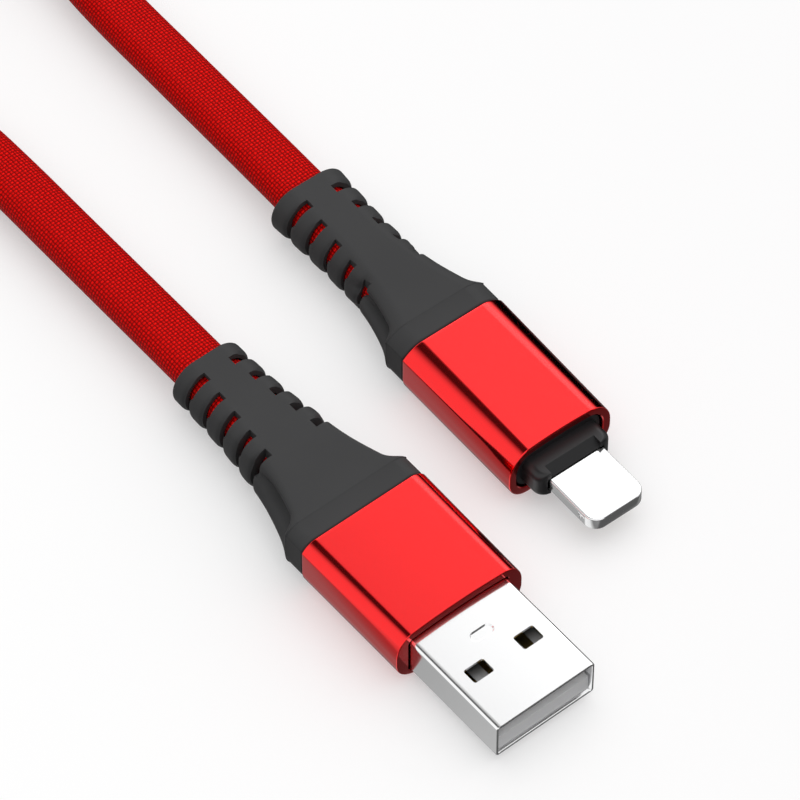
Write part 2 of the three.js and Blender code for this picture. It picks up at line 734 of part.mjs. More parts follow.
const cable = new THREE.Group();
const charger = chargerPlug();
const phone = phonePlug();
cable.add(charger, phone);
const middle = new THREE.Box3().setFromObject(cable, true).getCenter(new THREE.Vector3());
cable.add(cord(charger, phone));
cable.position.set(-middle.x, -middle.y, 0);

export default cable;
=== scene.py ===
"""A flat braided charging cable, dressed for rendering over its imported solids.

The wide charger plug lies in front, the narrow phone plug behind it, and the spare cord is a
tied hank outside the view. Lengths in the classes are millimetres. A plug has its own frame:
its sleeve's mouth at x = 0, its axis along +x, the cord leaving towards -x. The cord, the
hank and the straps are given from the point of the floor below the charger sleeve's mouth.
"""

from __future__ import annotations

import logging
from dataclasses import dataclass, field
from enum import Enum

import bpy
import numpy as np
from mathutils import Matrix, Vector

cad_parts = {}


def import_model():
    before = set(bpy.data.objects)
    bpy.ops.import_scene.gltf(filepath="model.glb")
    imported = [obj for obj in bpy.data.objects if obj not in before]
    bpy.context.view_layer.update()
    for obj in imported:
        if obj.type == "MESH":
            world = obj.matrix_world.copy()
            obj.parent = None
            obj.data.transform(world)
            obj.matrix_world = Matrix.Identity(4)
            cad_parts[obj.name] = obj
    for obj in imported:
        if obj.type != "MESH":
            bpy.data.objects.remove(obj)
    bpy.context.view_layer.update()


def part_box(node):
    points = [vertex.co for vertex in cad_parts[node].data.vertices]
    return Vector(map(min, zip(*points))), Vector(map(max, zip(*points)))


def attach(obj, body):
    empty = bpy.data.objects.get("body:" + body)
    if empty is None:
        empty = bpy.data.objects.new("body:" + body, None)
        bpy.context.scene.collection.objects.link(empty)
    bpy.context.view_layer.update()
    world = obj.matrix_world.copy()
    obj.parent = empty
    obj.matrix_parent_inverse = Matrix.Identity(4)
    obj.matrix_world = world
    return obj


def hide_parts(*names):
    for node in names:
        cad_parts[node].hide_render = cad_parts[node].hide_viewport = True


log = logging.getLogger("charging_cable")

MM = 0.001
BODY = "root"
THREAD_MAP = "thread"

FIT = 0.15  # clearance between pieces that are moulded or pressed together
LEAST_CORNER = 0.05  # the smallest corner that an inset outline keeps
SHARP = 35.0  # edges sharper than this, in degrees, stay sharp
BEVEL_FROM = 40.0  # edges sharper than this, in degrees, are rounded
CUT_EDGE = 0.01  # the rounding of a cutter whose own edges don't matter
PAST = 1.0  # how far a cutter reaches past what it cuts

CORD_WIDTH = 6.1
CORD_THICKNESS = 3.5
CORD_SWELL = (0.6, 0.85)  # how much wider and thicker the cord is behind the slots
NECK = 3.0  # how far a strain relief's neck reaches into its sleeve
THREAD = 0.38  # one cell of the braid

PLUG_SPACING = 20.6
PHONE_SETBACK = 9.55
PHONE_RAISE = 0.05
PHONE_TURN = -1.2

Socket = bpy.types.NodeSocket
Stops = tuple[tuple[float, float], ...]


# ---------------------------------------------------------------- numbers on arrays


def smooth(t: np.ndarray | float) -> np.ndarray:
    """Return 3t^2 - 2t^3 of t held between 0 and 1."""
    t = np.clip(t, 0.0, 1.0)
    return t * t * (3.0 - 2.0 * t)


def mix(a: np.ndarray | float, b: np.ndarray | float, t: np.ndarray | float) -> np.ndarray:
    """Return a + (b - a) t."""
    return a + (b - a) * t


def column(values: np.ndarray | list[float]) -> np.ndarray:
    """Return values as a column, one row for each station along a piece."""
    return np.asarray(values, dtype=float)[:, None]


def unit(vectors: np.ndarray) -> np.ndarray:
    """Return vectors, one in each row, at a length of 1."""
    return vectors / np.linalg.norm(vectors, axis=1, keepdims=True)


def slant(points: np.ndarray) -> np.ndarray:
    """Return each point's angle above the horizontal, atan2(|z|, |y|), in radians."""
    return np.arctan2(np.abs(points[..., 1]), np.abs(points[..., 0]))


def arc_lengths(points: np.ndarray) -> np.ndarray:
    """Return the distance run along a line of points, from 0 at its first."""
    steps = np.linalg.norm(np.diff(points, axis=0), axis=1)
    return np.concatenate([[0.0], np.cumsum(steps)])


def resampled(points: np.ndarray, at: np.ndarray) -> np.ndarray:
    """Return the points that lie at given distances along a line of points.

    Args:
        points: the line, one row for each point.
        at: distances along it.

    Returns:
        One row for each distance, by straight interpolation of every coordinate.
    """
    run = arc_lengths(points)
    return np.stack([np.interp(at, run, axis) for axis in points.T], axis=1)


def quarter_round(radius: float, count: int = 5) -> tuple[np.ndarray, np.ndarray]:
    """Return the two runs of a rounded edge: radius (1 - cos t) and radius sin t.

    Args:
        radius: the edge's radius.
        count: steps of t from 0 to a quarter turn.

    Returns:
        The run inwards and the run onwards.
    """
    t = np.linspace(0.0, np.pi / 2, count)
    return radius * (1 - np.cos(t)), radius * np.sin(t)


@dataclass(frozen=True)
class Outline:
    """A closed section in y and z: straight strips joined by four elliptic corners.

    The upper corners measure `across` by `down`, the lower ones `low_across` by `low_down`.
    An upper corner stops at `turn` degrees of its ellipse, and below 90 it meets the side
    in an edge.
    """

    width: float
    height: float
    across: float
    down: float
    low_across: float
    low_down: float
    turn: float = 90.0

    @classmethod
    def even(cls, width: float, height: float, corner: float) -> Outline:
        """Return an outline whose four corners are alike."""
        return cls(width, height, corner, corner, corner, corner)

    @classmethod
    def oval(cls, width: float, height: float, flat: float) -> Outline:
        """Return flat strips above and below, joined by sides that are round all the way."""
        side, half = (width - flat) / 2, height / 2
        return cls(width, height, side, half, side, half)

    def inset(self, amount: float) -> Outline:
        """Return the outline that lies the same amount inside this one all round.

        Args:
            amount: how far inside; a negative amount lies outside.

        Returns:
            The new outline.
        """
        corners = (self.across, self.down, self.low_across, self.low_down)
        return Outline(
            self.width - 2 * amount,
            self.height - 2 * amount,
            *(max(c - amount, LEAST_CORNER) for c in corners),
            self.turn,
        )

    def _quarter(self, across: float, down: float, turn: float, count: int) -> np.ndarray:
        """Work out the points from the middle of the top to the middle of the right side.

        A third of them lie evenly on the straight run to the corner. The rest are even by
        arc length on the corner y = y0 + a sin t, z = z0 + b cos t, with t from 0 to turn,
        and the straight run down, so that outlines of different corners still match.

        Args:
            across: the corner's size across.
            down: its size downwards.
            turn: where its ellipse stops, in degrees.
            count: points in the quarter.

        Returns:
            Rows of y and z, without the last point.
        """
        fine = 90
        t = np.linspace(0.0, np.radians(turn), fine)
        y = self.width / 2 - across + across * np.sin(t) / np.sin(t[-1])
        z = self.height / 2 - down * (1 - np.cos(t)) / (1 - np.cos(t[-1]))
        line = np.vstack([np.column_stack([y, z]), [self.width / 2, 0.0]])
        level = np.linspace(0.0, y[0], count // 3, endpoint=False)
        level = np.column_stack([level, np.full(len(level), self.height / 2)])
        at = np.linspace(0.0, arc_lengths(line)[-1], count - len(level) + 1)[:-1]
        return np.vstack([level, resampled(line, at)])

    def points(self, quarter: int = 64) -> np.ndarray:
        """Return the outline as 4 x quarter points, clockwise from the middle of the top.

        Args:
            quarter: points in each quarter.

        Returns:
            Rows of y and z.
        """
        top = self._quarter(self.across, self.down, self.turn, quarter)
        low = self._quarter(self.low_across, self.low_down, 90.0, quarter)
        side = np.array([[self.width / 2, 0.0]])
        base = np.array([[0.0, self.height / 2]])
        right_low = np.vstack([side, low[:0:-1]]) * [1, -1]
        left_low = np.vstack([base, low[1:]]) * [-1, -1]
        left_top = np.vstack([side, top[:0:-1]]) * [-1, 1]
        return np.vstack([top, right_low, left_low, left_top])


# ---------------------------------------------------------------- placing and meshing


@dataclass(frozen=True)
class Placement:
    """Where a plug lies: its origin in millimetres and its turn about the vertical."""

    origin: tuple[float, float, float]
    turn: float = 0.0

    def world(self, points: np.ndarray) -> np.ndarray:
        """Turn points about the vertical by x' = x cos - y sin, y' = x sin + y cos, and move them.

        Args:
            points: x, y and z in the plug's own frame, in millimetres.

        Returns:
            The same points in the room, in metres.
        """
        c, s = np.cos(self.turn), np.sin(self.turn)
        x, y, z = np.moveaxis(np.asarray(points, dtype=float), -1, 0)
        turned = np.stack([c * x - s * y, s * x + c * y, z], axis=-1)
        return (turned + np.array(self.origin)) * MM


def outward_faces(vertices: np.ndarray, faces: np.ndarray) -> list[list[int]]:
    """Return the faces of a closed mesh, turned over if they point inwards.

    The sign is that of the volume, a sixth of the sum of a . (b x c) over the triangles.

    Args:
        vertices: rows of x, y and z.
        faces: rows of four indices; a triangle repeats its last.

    Returns:
        The quads and then the triangles.
    """
    a, b, c, d = (vertices[faces[:, k]] for k in range(4))
    volume = np.einsum("ij,ij->", a, np.cross(b, c)) + np.einsum("ij,ij->", a, np.cross(c, d))
    order = 1 if volume > 0 else -1
    triangle = faces[:, 2] == faces[:, 3]
    quads, triangles = faces[~triangle], faces[triangle][:, :3]
    return quads[:, ::order].tolist() + triangles[:, ::order].tolist()


def linked(name: str, data: bpy.types.ID) -> bpy.types.Object:
    """Make an object at the origin and link it to the scene.

    Args:
        name: its name.
        data: its mesh or camera.

    Returns:
        The object.
    """
    made = bpy.data.objects.new(name, data)
    bpy.context.scene.collection.objects.link(made)
    return made


def shade(mesh: bpy.types.Mesh, sharp: float) -> None:
    """Shade a mesh smooth, but for edges sharper than an angle in degrees."""
    mesh.shade_smooth()
    mesh.set_sharp_from_angle(angle=np.radians(sharp))


def grid_faces(rings: int, around: int, closed: bool) -> np.ndarray:
    """Return the quads of a grid whose rings are closed.

    Args:
        rings: how many rings there are.
        around: points in each.
        closed: whether the last ring joins the first, which makes a torus.

    Returns:
        Rows of four indices, from each point to its neighbours along and round.
    """
    i = np.arange(rings if closed else rings - 1)[:, None]
    j = np.arange(around)[None, :]
    k, m = (i + 1) % rings, (j + 1) % around
    quads = [i * around + j, i * around + m, k * around + m, k * around + j]
    return np.stack(np.broadcast_arrays(*quads), axis=-1).reshape(-1, 4)


def fan_faces(first: int, around: int, pole: int, forward: bool) -> np.ndarray:
    """Return the triangles that close one ring round a pole.

    Args:
        first: the index of the ring's first point.
        around: points in the ring.
        pole: the index of the pole.
        forward: whether they run with the ring.

    Returns:
        Rows of four indices, the pole twice.
    """
    j = np.arange(around)
    here, there = first + j, first + (j + 1) % around
    poles = np.full(around, pole)
    return np.stack([*((here, there) if forward else (there, here)), poles, poles], axis=1)


def ring_solid(
    name: str, place: Placement, rings: np.ndarray, closed: bool = False, sharp: float = SHARP
) -> bpy.types.Object:
    """Make a solid whose skin runs through rings of points.

    An open row of rings is closed by a fan of triangles at each end, round the ring's middle;
    a closed row is a tube whose last ring joins its first.

    Args:
        name: the object's name.
        place: the frame that the rings are given in.
        rings: an array of rings by points by three.
        closed: whether the last ring joins the first.
        sharp: edges sharper than this, in degrees, stay sharp.

    Returns:
        The object.
    """
    count, around = rings.shape[:2]
    vertices = rings.reshape(-1, 3)
    faces = grid_faces(count, around, closed)
    if not closed:
        pole, last = len(vertices), (count - 1) * around
        vertices = np.vstack([vertices, rings[[0, -1]].mean(axis=1)])
        ends = fan_faces(0, around, pole, False), fan_faces(last, around, pole + 1, True)
        faces = np.vstack([faces, *ends])
    vertices = place.world(vertices)
    mesh = bpy.data.meshes.new(name)
    mesh.from_pydata(vertices.tolist(), [], outward_faces(vertices, faces))
    mesh.update()
    shade(mesh, sharp)
    return linked(name, mesh)


def along_x(stations: list[tuple[float, np.ndarray]]) -> np.ndarray:
    """Return rings of x, y, z from outlines that stand at given x."""
    return np.stack([np.column_stack([np.full(len(o), x), o]) for x, o in stations])


def levels_up(levels: list[tuple[np.ndarray, float]]) -> np.ndarray:
    """Return rings of x, y, z from plan outlines that lie at given z."""
    return np.stack([np.column_stack([plan, np.full(len(plan), z)]) for plan, z in levels])


def carried(profile: np.ndarray, ends: tuple[float, float]) -> np.ndarray:
    """Return the two rings of a block: a profile in x and z that stands at two y.

    Args:
        profile: rows of x and z.
        ends: the two y.

    Returns:
        Rings of points.
    """
    across = np.array(ends)[:, None, None]
    parts = np.broadcast_arrays(profile[None, :, :1], across, profile[None, :, 1:])
    return np.concatenate(parts, axis=-1)


def plate_rings(plan: np.ndarray, low: float, high: float, edge: float) -> np.ndarray:
    """Return rings for a plate: a plan outline carried up, its edges rounded.

    The plan shrinks towards its middle by edge (1 - cos t) while z moves by edge sin t. One
    more ring lies level inside each rounded edge, so that both faces shade flat.

    Args:
        plan: rows of x and y, anticlockwise.
        low: the plate's underside.
        high: its top.
        edge: radius of its edges.

    Returns:
        Rings of points.
    """
    ahead = np.roll(plan, -1, axis=0) - np.roll(plan, 1, axis=0)
    normal = unit(np.column_stack([ahead[:, 1], -ahead[:, 0]]))
    inwards, onwards = quarter_round(edge)
    level = edge + 0.03
    steps = [(low, level)]
    steps += [(low + edge - h, i) for h, i in zip(onwards[::-1], inwards[::-1])]
    steps += [(high - edge + h, i) for h, i in zip(onwards, inwards)]
    steps += [(high, level)]
    return levels_up([(plan - i * normal, z) for z, i in steps])


def round_plan(x0: float, x1: float, width: float, rear: float, front: float) -> np.ndarray:
    """Return a plan outline along x with its own corner radius at either end.

    Args:
        x0: its rear end.
        x1: its front end.
        width: its whole width, even about y = 0.
        rear: radius of the rear corners.
        front: radius of the front corners.

    Returns:
        Rows of x and y, anticlockwise, as four arcs (x + r cos t, y + r sin t).
    """
    t = np.linspace(0.0, np.pi / 2, 9)
    half = width / 2
    corners = [
        (x1 - front, -half + front, front, -np.pi / 2),
        (x1 - front, half - front, front, 0.0),
        (x0 + rear, half - rear, rear, np.pi / 2),
        (x0 + rear, -half + rear, rear, np.pi),
    ]
    return np.vstack(
        [np.column_stack([x + r * np.cos(t + a), y + r * np.sin(t + a)]) for x, y, r, a in corners]
    )


def carve(target: bpy.types.Object, cutters: list[bpy.types.Object]) -> None:
    """Cut solids out of an object, keep the mesh that this leaves and delete the cutters.

    Args:
        target: the object.
        cutters: the solids, which are used up.
    """
    for cutter in cutters:
        cut = target.modifiers.new("cut", "BOOLEAN")
        cut.operation = "DIFFERENCE"
        cut.solver = "EXACT"
        cut.object = cutter
    shown = target.evaluated_get(bpy.context.evaluated_depsgraph_get())
    mesh = bpy.data.meshes.new_from_object(shown)
    target.modifiers.clear()
    target.data = mesh
    shade(mesh, SHARP)
    for cutter in cutters:
        bpy.data.objects.remove(cutter)


def soften(target: bpy.types.Object, width: float) -> None:
    """Round an object's sharp edges with a bevel.

    Args:
        target: the object.
        width: the bevel's width, in millimetres.
    """
    bevel = target.modifiers.new("edges", "BEVEL")
    bevel.width = width * MM
    bevel.segments = 2
    bevel.limit_method = "ANGLE"
    bevel.angle_limit = np.radians(BEVEL_FROM)
    bevel.harden_normals = True


def corner_places(
    mesh: bpy.types.Mesh, rings: int, around: int
) -> tuple[np.ndarray, np.ndarray]:
    """Find where each corner of the faces lies on the grid that a mesh was made from.

    Args:
        mesh: the mesh.
        rings: how many rings the grid has.
        around: points in each.

    Returns:
        Each corner's ring and its place in that ring; a pole counts as the last point.
    """
    corners = np.empty(len(mesh.loops), dtype=np.int64)
    mesh.loops.foreach_get("vertex_index", corners)
    return np.divmod(np.minimum(corners, rings * around - 1), around)


def lay_threads(mesh: bpy.types.Mesh, u: np.ndarray, v: np.ndarray) -> None:
    """Store the thread map: u along and v round a piece at each corner, in millimetres."""
    uv = np.column_stack([u, v]).astype(np.float32)
    mesh.uv_layers.new(name=THREAD_MAP).data.foreach_set("uv", uv.ravel())


# ---------------------------------------------------------------- finishes


class Tree:
    """A node tree with short ways to add and join its nodes."""

    def __init__(self, tree: bpy.types.NodeTree) -> None:
        """Keep the tree."""
        self.tree = tree

    def node(self, kind: str, **settings: object) -> bpy.types.Node:
        """Add a node.

        Args:
            kind: its type.
            **settings: its own properties.

        Returns:
            The node.
        """
        made = self.tree.nodes.new(kind)
        for key, value in settings.items():
            setattr(made, key, value)
        return made

    def join(self, source: object, target: Socket) -> None:
        """Link an output to an input, or set the input's value.

        Args:
            source: the output, or the value.
            target: the input.
        """
        if isinstance(source, Socket):
            self.tree.links.new(source, target)
        else:
            target.default_value = source

    def fed(self, node: bpy.types.Node, *sources: object) -> bpy.types.Node:
        """Join sources to a node's first inputs.

        Args:
            node: the node.
            *sources: outputs or values, in the order of its inputs.

        Returns:
            The node.
        """
        for socket, source in zip(node.inputs, sources):
            self.join(source, socket)
        return node

    def math(self, operation: str, *inputs: object) -> Socket:
        """Add a Math node and return its value."""
        return self.fed(self.node("ShaderNodeMath", operation=operation), *inputs).outputs[0]

    def ramp(self, factor: object, stops: Stops) -> Socket:
        """Add a Color Ramp of greys.

        Args:
            factor: what it reads.
            stops: places and their values.

        Returns:
            Its colour.
        """
        made = self.node("ShaderNodeValToRGB")
        elements = made.color_ramp.elements
        while len(elements) > 1:
            elements.remove(elements[-1])
        elements[0].position = stops[0][0]
        elements[0].color = (*[stops[0][1]] * 3, 1.0)
        for place, value in stops[1:]:
            elements.new(place).color = (*[value] * 3, 1.0)
        return self.fed(made, factor).outputs[0]

    def blend(self, factor: object, first: object, second: object) -> Socket:
        """Mix two colours.

        Args:
            factor: the share of the second.
            first: one colour.
            second: the other.

        Returns:
            The mixed colour.
        """
        made = self.node("ShaderNodeMix", data_type="RGBA")
        for place, source in ((0, factor), (6, first), (7, second)):
            self.join(source, made.inputs[place])
        return made.outputs[2]

    def layer(self, factor: object, below: Socket, above: Socket) -> Socket:
        """Mix two shaders by a factor and return the result."""
        return self.fed(self.node("ShaderNodeMixShader"), factor, below, above).outputs[0]

    def step(self, value: object, low: float, high: float) -> Socket:
        """Map value smoothly from 0 at low to 1 at high."""
        made = self.node("ShaderNodeMapRange", interpolation_type="SMOOTHSTEP")
        return self.fed(made, value, low, high).outputs[0]

    def noise(self, vector: Socket, scale: object, detail: float = 2.0) -> Socket:
        """Add a Noise Texture.

        Args:
            vector: the coordinates that it reads.
            scale: its scale.
            detail: its detail.

        Returns:
            Its value.
        """
        made = self.node("ShaderNodeTexNoise")
        for key, source in (("Vector", vector), ("Scale", scale), ("Detail", detail)):
            self.join(source, made.inputs[key])
        return made.outputs["Fac"]

    def bump(self, shader: bpy.types.Node, height: Socket, strength: float, depth: float) -> None:
        """Give a shader relief.

        Args:
            shader: the shader.
            height: the relief's height, of about 0 to 1.
            strength: its strength.
            depth: its depth, in millimetres.
        """
        made = self.node("ShaderNodeBump")
        for key, source in (("Strength", strength), ("Distance", depth * MM), ("Height", height)):
            self.join(source, made.inputs[key])
        self.join(made.outputs[0], shader.inputs["Normal"])

    def axes(self, space: str) -> tuple[Socket, Socket, Socket]:
        """Return x, y and z of one of the Texture Coordinate node's outputs."""
        place = self.node("ShaderNodeTexCoord").outputs[space]
        return tuple(self.fed(self.node("ShaderNodeSeparateXYZ"), place).outputs)


def colour(red: float, green: float, blue: float) -> tuple[float, float, float, float]:
    """Return a linear colour with full cover."""
    return (red, green, blue, 1.0)


def new_group(
    name: str, inputs: dict[str, float], outputs: list[str]
) -> tuple[Tree, bpy.types.Node, bpy.types.Node]:
    """Start a shader node group of plain numbers.

    Args:
        name: the group's name.
        inputs: its input sockets and their values, besides the vector.
        outputs: its output sockets.

    Returns:
        The tree, its input node and its output node.
    """
    group = bpy.data.node_groups.new(name, "ShaderNodeTree")
    group.interface.new_socket("Vector", in_out="INPUT", socket_type="NodeSocketVector")
    for key, value in inputs.items():
        socket = group.interface.new_socket(key, in_out="INPUT", socket_type="NodeSocketFloat")
        socket.default_value = value
    for key in outputs:
        group.interface.new_socket(key, in_out="OUTPUT", socket_type="NodeSocketFloat")
    tree = Tree(group)
    return tree, tree.node("NodeGroupInput"), tree.node("NodeGroupOutput")


def grain_group() -> bpy.types.NodeTree:
    """Build the fine grain that every moulded or plated surface shares.

    Height is a fine noise plus a third of one five times finer; Patch is a broad noise.

    Returns:
        The group, made on first use.
    """
    name = "Surface grain"
    if name in bpy.data.node_groups:
        return bpy.data.node_groups[name]
    tree, into, out = new_group(name, {"Grain": 3000.0, "Patch size": 120.0}, ["Height", "Patch"])
    vector, grain, patch_size = (into.outputs[key] for key in ("Vector", "Grain", "Patch size"))
    coarse = tree.noise(vector, grain)
    fine = tree.noise(vector, tree.math("MULTIPLY", grain, 5.0), 1.0)
    height = tree.math("ADD", coarse, tree.math("MULTIPLY", fine, 0.33))
    tree.join(height, out.inputs["Height"])
    tree.join(tree.noise(vector, patch_size), out.inputs["Patch"])
    return tree.tree


def weave_group() -> bpy.types.NodeTree:
    """Build the braid: threads that pass over and under in a checker of small cells.

    With p and q the cells along and round the cord, and f their fractions, a cell of even
    floor(p) + floor(q) shows a thread lying across, of height sin^0.7(pi fp) sin^0.4(pi fq);
    an odd cell shows one lying along, lower, with p and q exchanged.

    Returns:
        The group, made on first use.
    """
    name = "Braid"
    if name in bpy.data.node_groups:
        return bpy.data.node_groups[name]
    tree, into, out = new_group(name, {"Cell": 0.5}, ["Height", "Across"])
    split = tree.fed(tree.node("ShaderNodeSeparateXYZ"), into.outputs["Vector"])
    cells = [tree.math("DIVIDE", split.outputs[k], into.outputs["Cell"]) for k in range(2)]
    number = tree.math("ADD", *(tree.math("FLOOR", cell) for cell in cells))
    odd = tree.math("MODULO", tree.math("ABSOLUTE", number), 2.0)
    even = tree.math("SUBTRACT", 1.0, odd)
    arches = [
        tree.math("SINE", tree.math("MULTIPLY", tree.math("FRACT", cell), np.pi)) for cell in cells
    ]
    across, lengthwise = (
        tree.math("MULTIPLY", tree.math("POWER", broad, 0.7), tree.math("POWER", narrow, 0.4))
        for broad, narrow in (arches, arches[::-1])
    )
    low = tree.math("MULTIPLY", lengthwise, 0.75)
    over = tree.math("MULTIPLY", across, even)
    tree.join(tree.math("ADD", over, tree.math("MULTIPLY", low, odd)), out.inputs["Height"])
    tree.join(over, out.inputs["Across"])
    return tree.tree


@dataclass(frozen=True)
class Finish:
    """A surface finish: one shader with the shared grain in its colour, gloss and relief."""

    name: str
    base: tuple[float, float, float]
    roughness: float
    metallic: float = 0.0
    coat: float = 0.0
    coat_roughness: float = 0.03
    specular: float = 0.5
    grain: float = 3000.0
    relief: float = 0.004
    strength: float = 0.35
    variation: float = 0.06
    gloss_variation: float = 0.05

    def material(self) -> bpy.types.Material:
        """Make the finish's material on first use.

        Returns:
            The material.
        """
        title = f"{self.name}_finish"
        known = bpy.data.materials.get(title)
        if known:
            return known
        made = bpy.data.materials.new(title)
        made.use_nodes = True
        shader = made.node_tree.nodes["Principled BSDF"]
        shader.inputs["Metallic"].default_value = self.metallic
        shader.inputs["Coat Weight"].default_value = self.coat
        shader.inputs["Coat Roughness"].default_value = self.coat_roughness
        shader.inputs["Specular IOR Level"].default_value = self.specular
        self.dress(Tree(made.node_tree), shader)
        return made

    def dress(self, tree: Tree, shader: bpy.types.Node) -> None:
        """Join the grain to the shader: colour and gloss vary a little, and it has relief.

        Args:
            tree: the material's nodes.
            shader: its shader.
        """
        place = tree.node("ShaderNodeTexCoord").outputs["Object"]
        grain = tree.node("ShaderNodeGroup", node_tree=grain_group())
        tree.join(place, grain.inputs["Vector"])
        tree.join(self.grain, grain.inputs["Grain"])
        patch = grain.outputs["Patch"]
        dark = colour(*(c * (1 - self.variation) for c in self.base))
        light = colour(*(min(c * (1 + self.variation), 1.0) for c in self.base))
        tree.join(tree.blend(patch, dark, light), shader.inputs["Base Color"])
        swing = tree.math("MULTIPLY_ADD", patch, self.gloss_variation, self.roughness)
        tree.join(swing, shader.inputs["Roughness"])
        tree.bump(shader, grain.outputs["Height"], self.strength, self.relief)


@dataclass(frozen=True)
class CarrierWithPaintedShade(Finish):
    """The contact carrier: pale at its front end; from a given x rearwards its colour is painted
    dark, as painted shade where the shell covers it.
    """

    # dark: painted shade, the carrier's colour where the shell shades it
    dark: tuple[float, float, float] = (0.03, 0.03, 0.03)
    front: float = 0.026
    fade: float = 0.003

    def dress(self, tree: Tree, shader: bpy.types.Node) -> None:
        """Join the shared grain, then paint shade: the colour turns dark behind the front end.

        Args:
            tree: the material's nodes.
            shader: its shader.
        """
        super().dress(tree, shader)
        # painted shade: dark from front rearwards, fading in over fade
        ahead = tree.step(tree.axes("Object")[0], self.front - self.fade, self.front)
        pale = shader.inputs["Base Color"].links[0].from_socket
        tree.join(tree.blend(ahead, colour(*self.dark), pale), shader.inputs["Base Color"])


@dataclass(frozen=True)
class Woven(Finish):
    """A woven finish whose threads follow the piece's own thread map, in millimetres, with painted
    shade where the weave lies low.
    """

    relief: float = 0.12
    strength: float = 0.6
    # gap: painted shade, the colour where the weave is lowest
    gap: tuple[float, float, float] = (0.0, 0.0, 0.0)
    cell: float = 0.5
    patch: float = 1.3

    def dress(self, tree: Tree, shader: bpy.types.Node) -> None:
        """Join the braid to the shader: painted shade in the gaps, darker the lower the weave
        lies, the threads' own colour where it is high, and their relief.

        Args:
            tree: the material's nodes.
            shader: its shader.
        """
        uv = tree.node("ShaderNodeUVMap", uv_map=THREAD_MAP).outputs[0]
        braid = tree.node("ShaderNodeGroup", node_tree=weave_group())
        tree.join(uv, braid.inputs["Vector"])
        tree.join(self.cell, braid.inputs["Cell"])
        height, across = braid.outputs["Height"], braid.outputs["Across"]
        noise = tree.noise(uv, self.patch)
        lift = tree.math("MULTIPLY_ADD", noise, self.variation, 1 - self.variation / 2)
        # painted shade: the colour falls to the gap's as the weave's height falls; the noise gives
        # a real random tone
        unshaded_share = tree.step(tree.math("MULTIPLY", height, lift), 0.15, 0.95)
        threads = tree.blend(unshaded_share, colour(*self.gap), colour(*self.base))
        tree.join(threads, shader.inputs["Base Color"])
        gloss = tree.math("MULTIPLY_ADD", across, -0.1, self.roughness)
        tree.join(gloss, shader.inputs["Roughness"])
        tree.bump(shader, height, self.strength, self.relief)


class Surface(Enum):
    """The cable's finishes, each with its own name and look."""

    RED_ANODISED = Finish(
        "red_anodised", (0.98, 0.012, 0.014), 0.12, metallic=1.0, coat=0.6,
        grain=1800.0, relief=0.0015, variation=0.02, gloss_variation=0.03,
    )
    BLACK_RUBBER = Finish(
        "black_rubber", (0.05, 0.05, 0.051), 0.55, specular=0.14, grain=5200.0, relief=0.012,
        variation=0.12,
    )
    NICKEL = Finish(
        "nickel", (0.965, 0.967, 0.97), 0.1, metallic=1.0, grain=2500.0, relief=0.0015,
        variation=0.02, gloss_variation=0.06,
    )
    GOLD = Finish("gold", (0.86, 0.62, 0.24), 0.18, metallic=1.0, relief=0.001)
    # the carrier's finish: pale plastic with painted shade on its rear
    GREY_PLASTIC = CarrierWithPaintedShade("grey_plastic", (0.8, 0.8, 0.81), 0.4)
    BLACK_PLASTIC = Finish(
        "black_plastic", (0.014, 0.014, 0.015), 0.34, relief=0.005, specular=0.45,
    )
    WHITE_PLASTIC = Finish("white_plastic", (0.72, 0.7, 0.62), 0.35, relief=0.005)
    GREEN_BOARD = Finish("green_board", (0.02, 0.13, 0.05), 0.3, coat=0.4)
    WIRE_RED = Finish("wire_red", (0.5, 0.02, 0.016), 0.35)
    WIRE_WHITE = Finish("wire_white", (0.7, 0.68, 0.62), 0.35)
    WIRE_GREEN = Finish("wire_green", (0.03, 0.24, 0.06), 0.35)
    WIRE_BLACK = Finish("wire_black", (0.012, 0.012, 0.012), 0.35)
    # gap, in the two woven finishes: painted shade where the weave lies low
    RED_BRAID = Woven(
        "red_braid", (0.86, 0.005, 0.003), 0.55, metallic=0.4, specular=0.06,
        gap=(0.26, 0.001, 0.001), variation=0.3, cell=THREAD,
    )
    BLACK_STRAP = Woven(
        "black_strap", (0.03, 0.03, 0.032), 0.85, specular=0.3, gap=(0.008, 0.008, 0.008),
        variation=0.3, cell=0.6, relief=0.2,
    )


def finish_piece(piece: bpy.types.Object, surface: Surface, *nodes: str) -> bpy.types.Object:
    """Dress a new piece, put it on the body and hide the solids that it replaces.

    Args:
        piece: the object.
        surface: its finish, whose material fills the piece's one slot.
        *nodes: the solids that it replaces.

    Returns:
        The object.
    """
    piece.data.materials.clear()
    piece.data.materials.append(surface.value.material())
    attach(piece, BODY)
    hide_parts(*nodes)
    log.info("%s: %d faces, %s", piece.name, len(piece.data.polygons), surface.value.name)
    return piece


def dress_node(name: str, surface: Surface) -> None:
    """Give a solid that is kept as it is its finish.

    Args:
        name: the solid's name.
        surface: its finish.
    """
    kept = bpy.data.objects[name]
    material = surface.value.material()
    if not kept.material_slots:
        kept.data.materials.append(material)
    for place in kept.material_slots:
        place.material = material
    log.info("%s: kept, %s", name, surface.value.name)


def dress_wires(plug: str) -> None:
    """Give a plug's four cores the colours of their insulation.

    Args:
        plug: what the cores' names start with.
    """
    colours = {
        "power": Surface.WIRE_RED,
        "data_minus": Surface.WIRE_WHITE,
        "data_plus": Surface.WIRE_GREEN,
        "ground": Surface.WIRE_BLACK,
    }
    for wire, surface in colours.items():
        dress_node(f"{plug}_wire_{wire}", surface)


# ---------------------------------------------------------------- parts of a plug


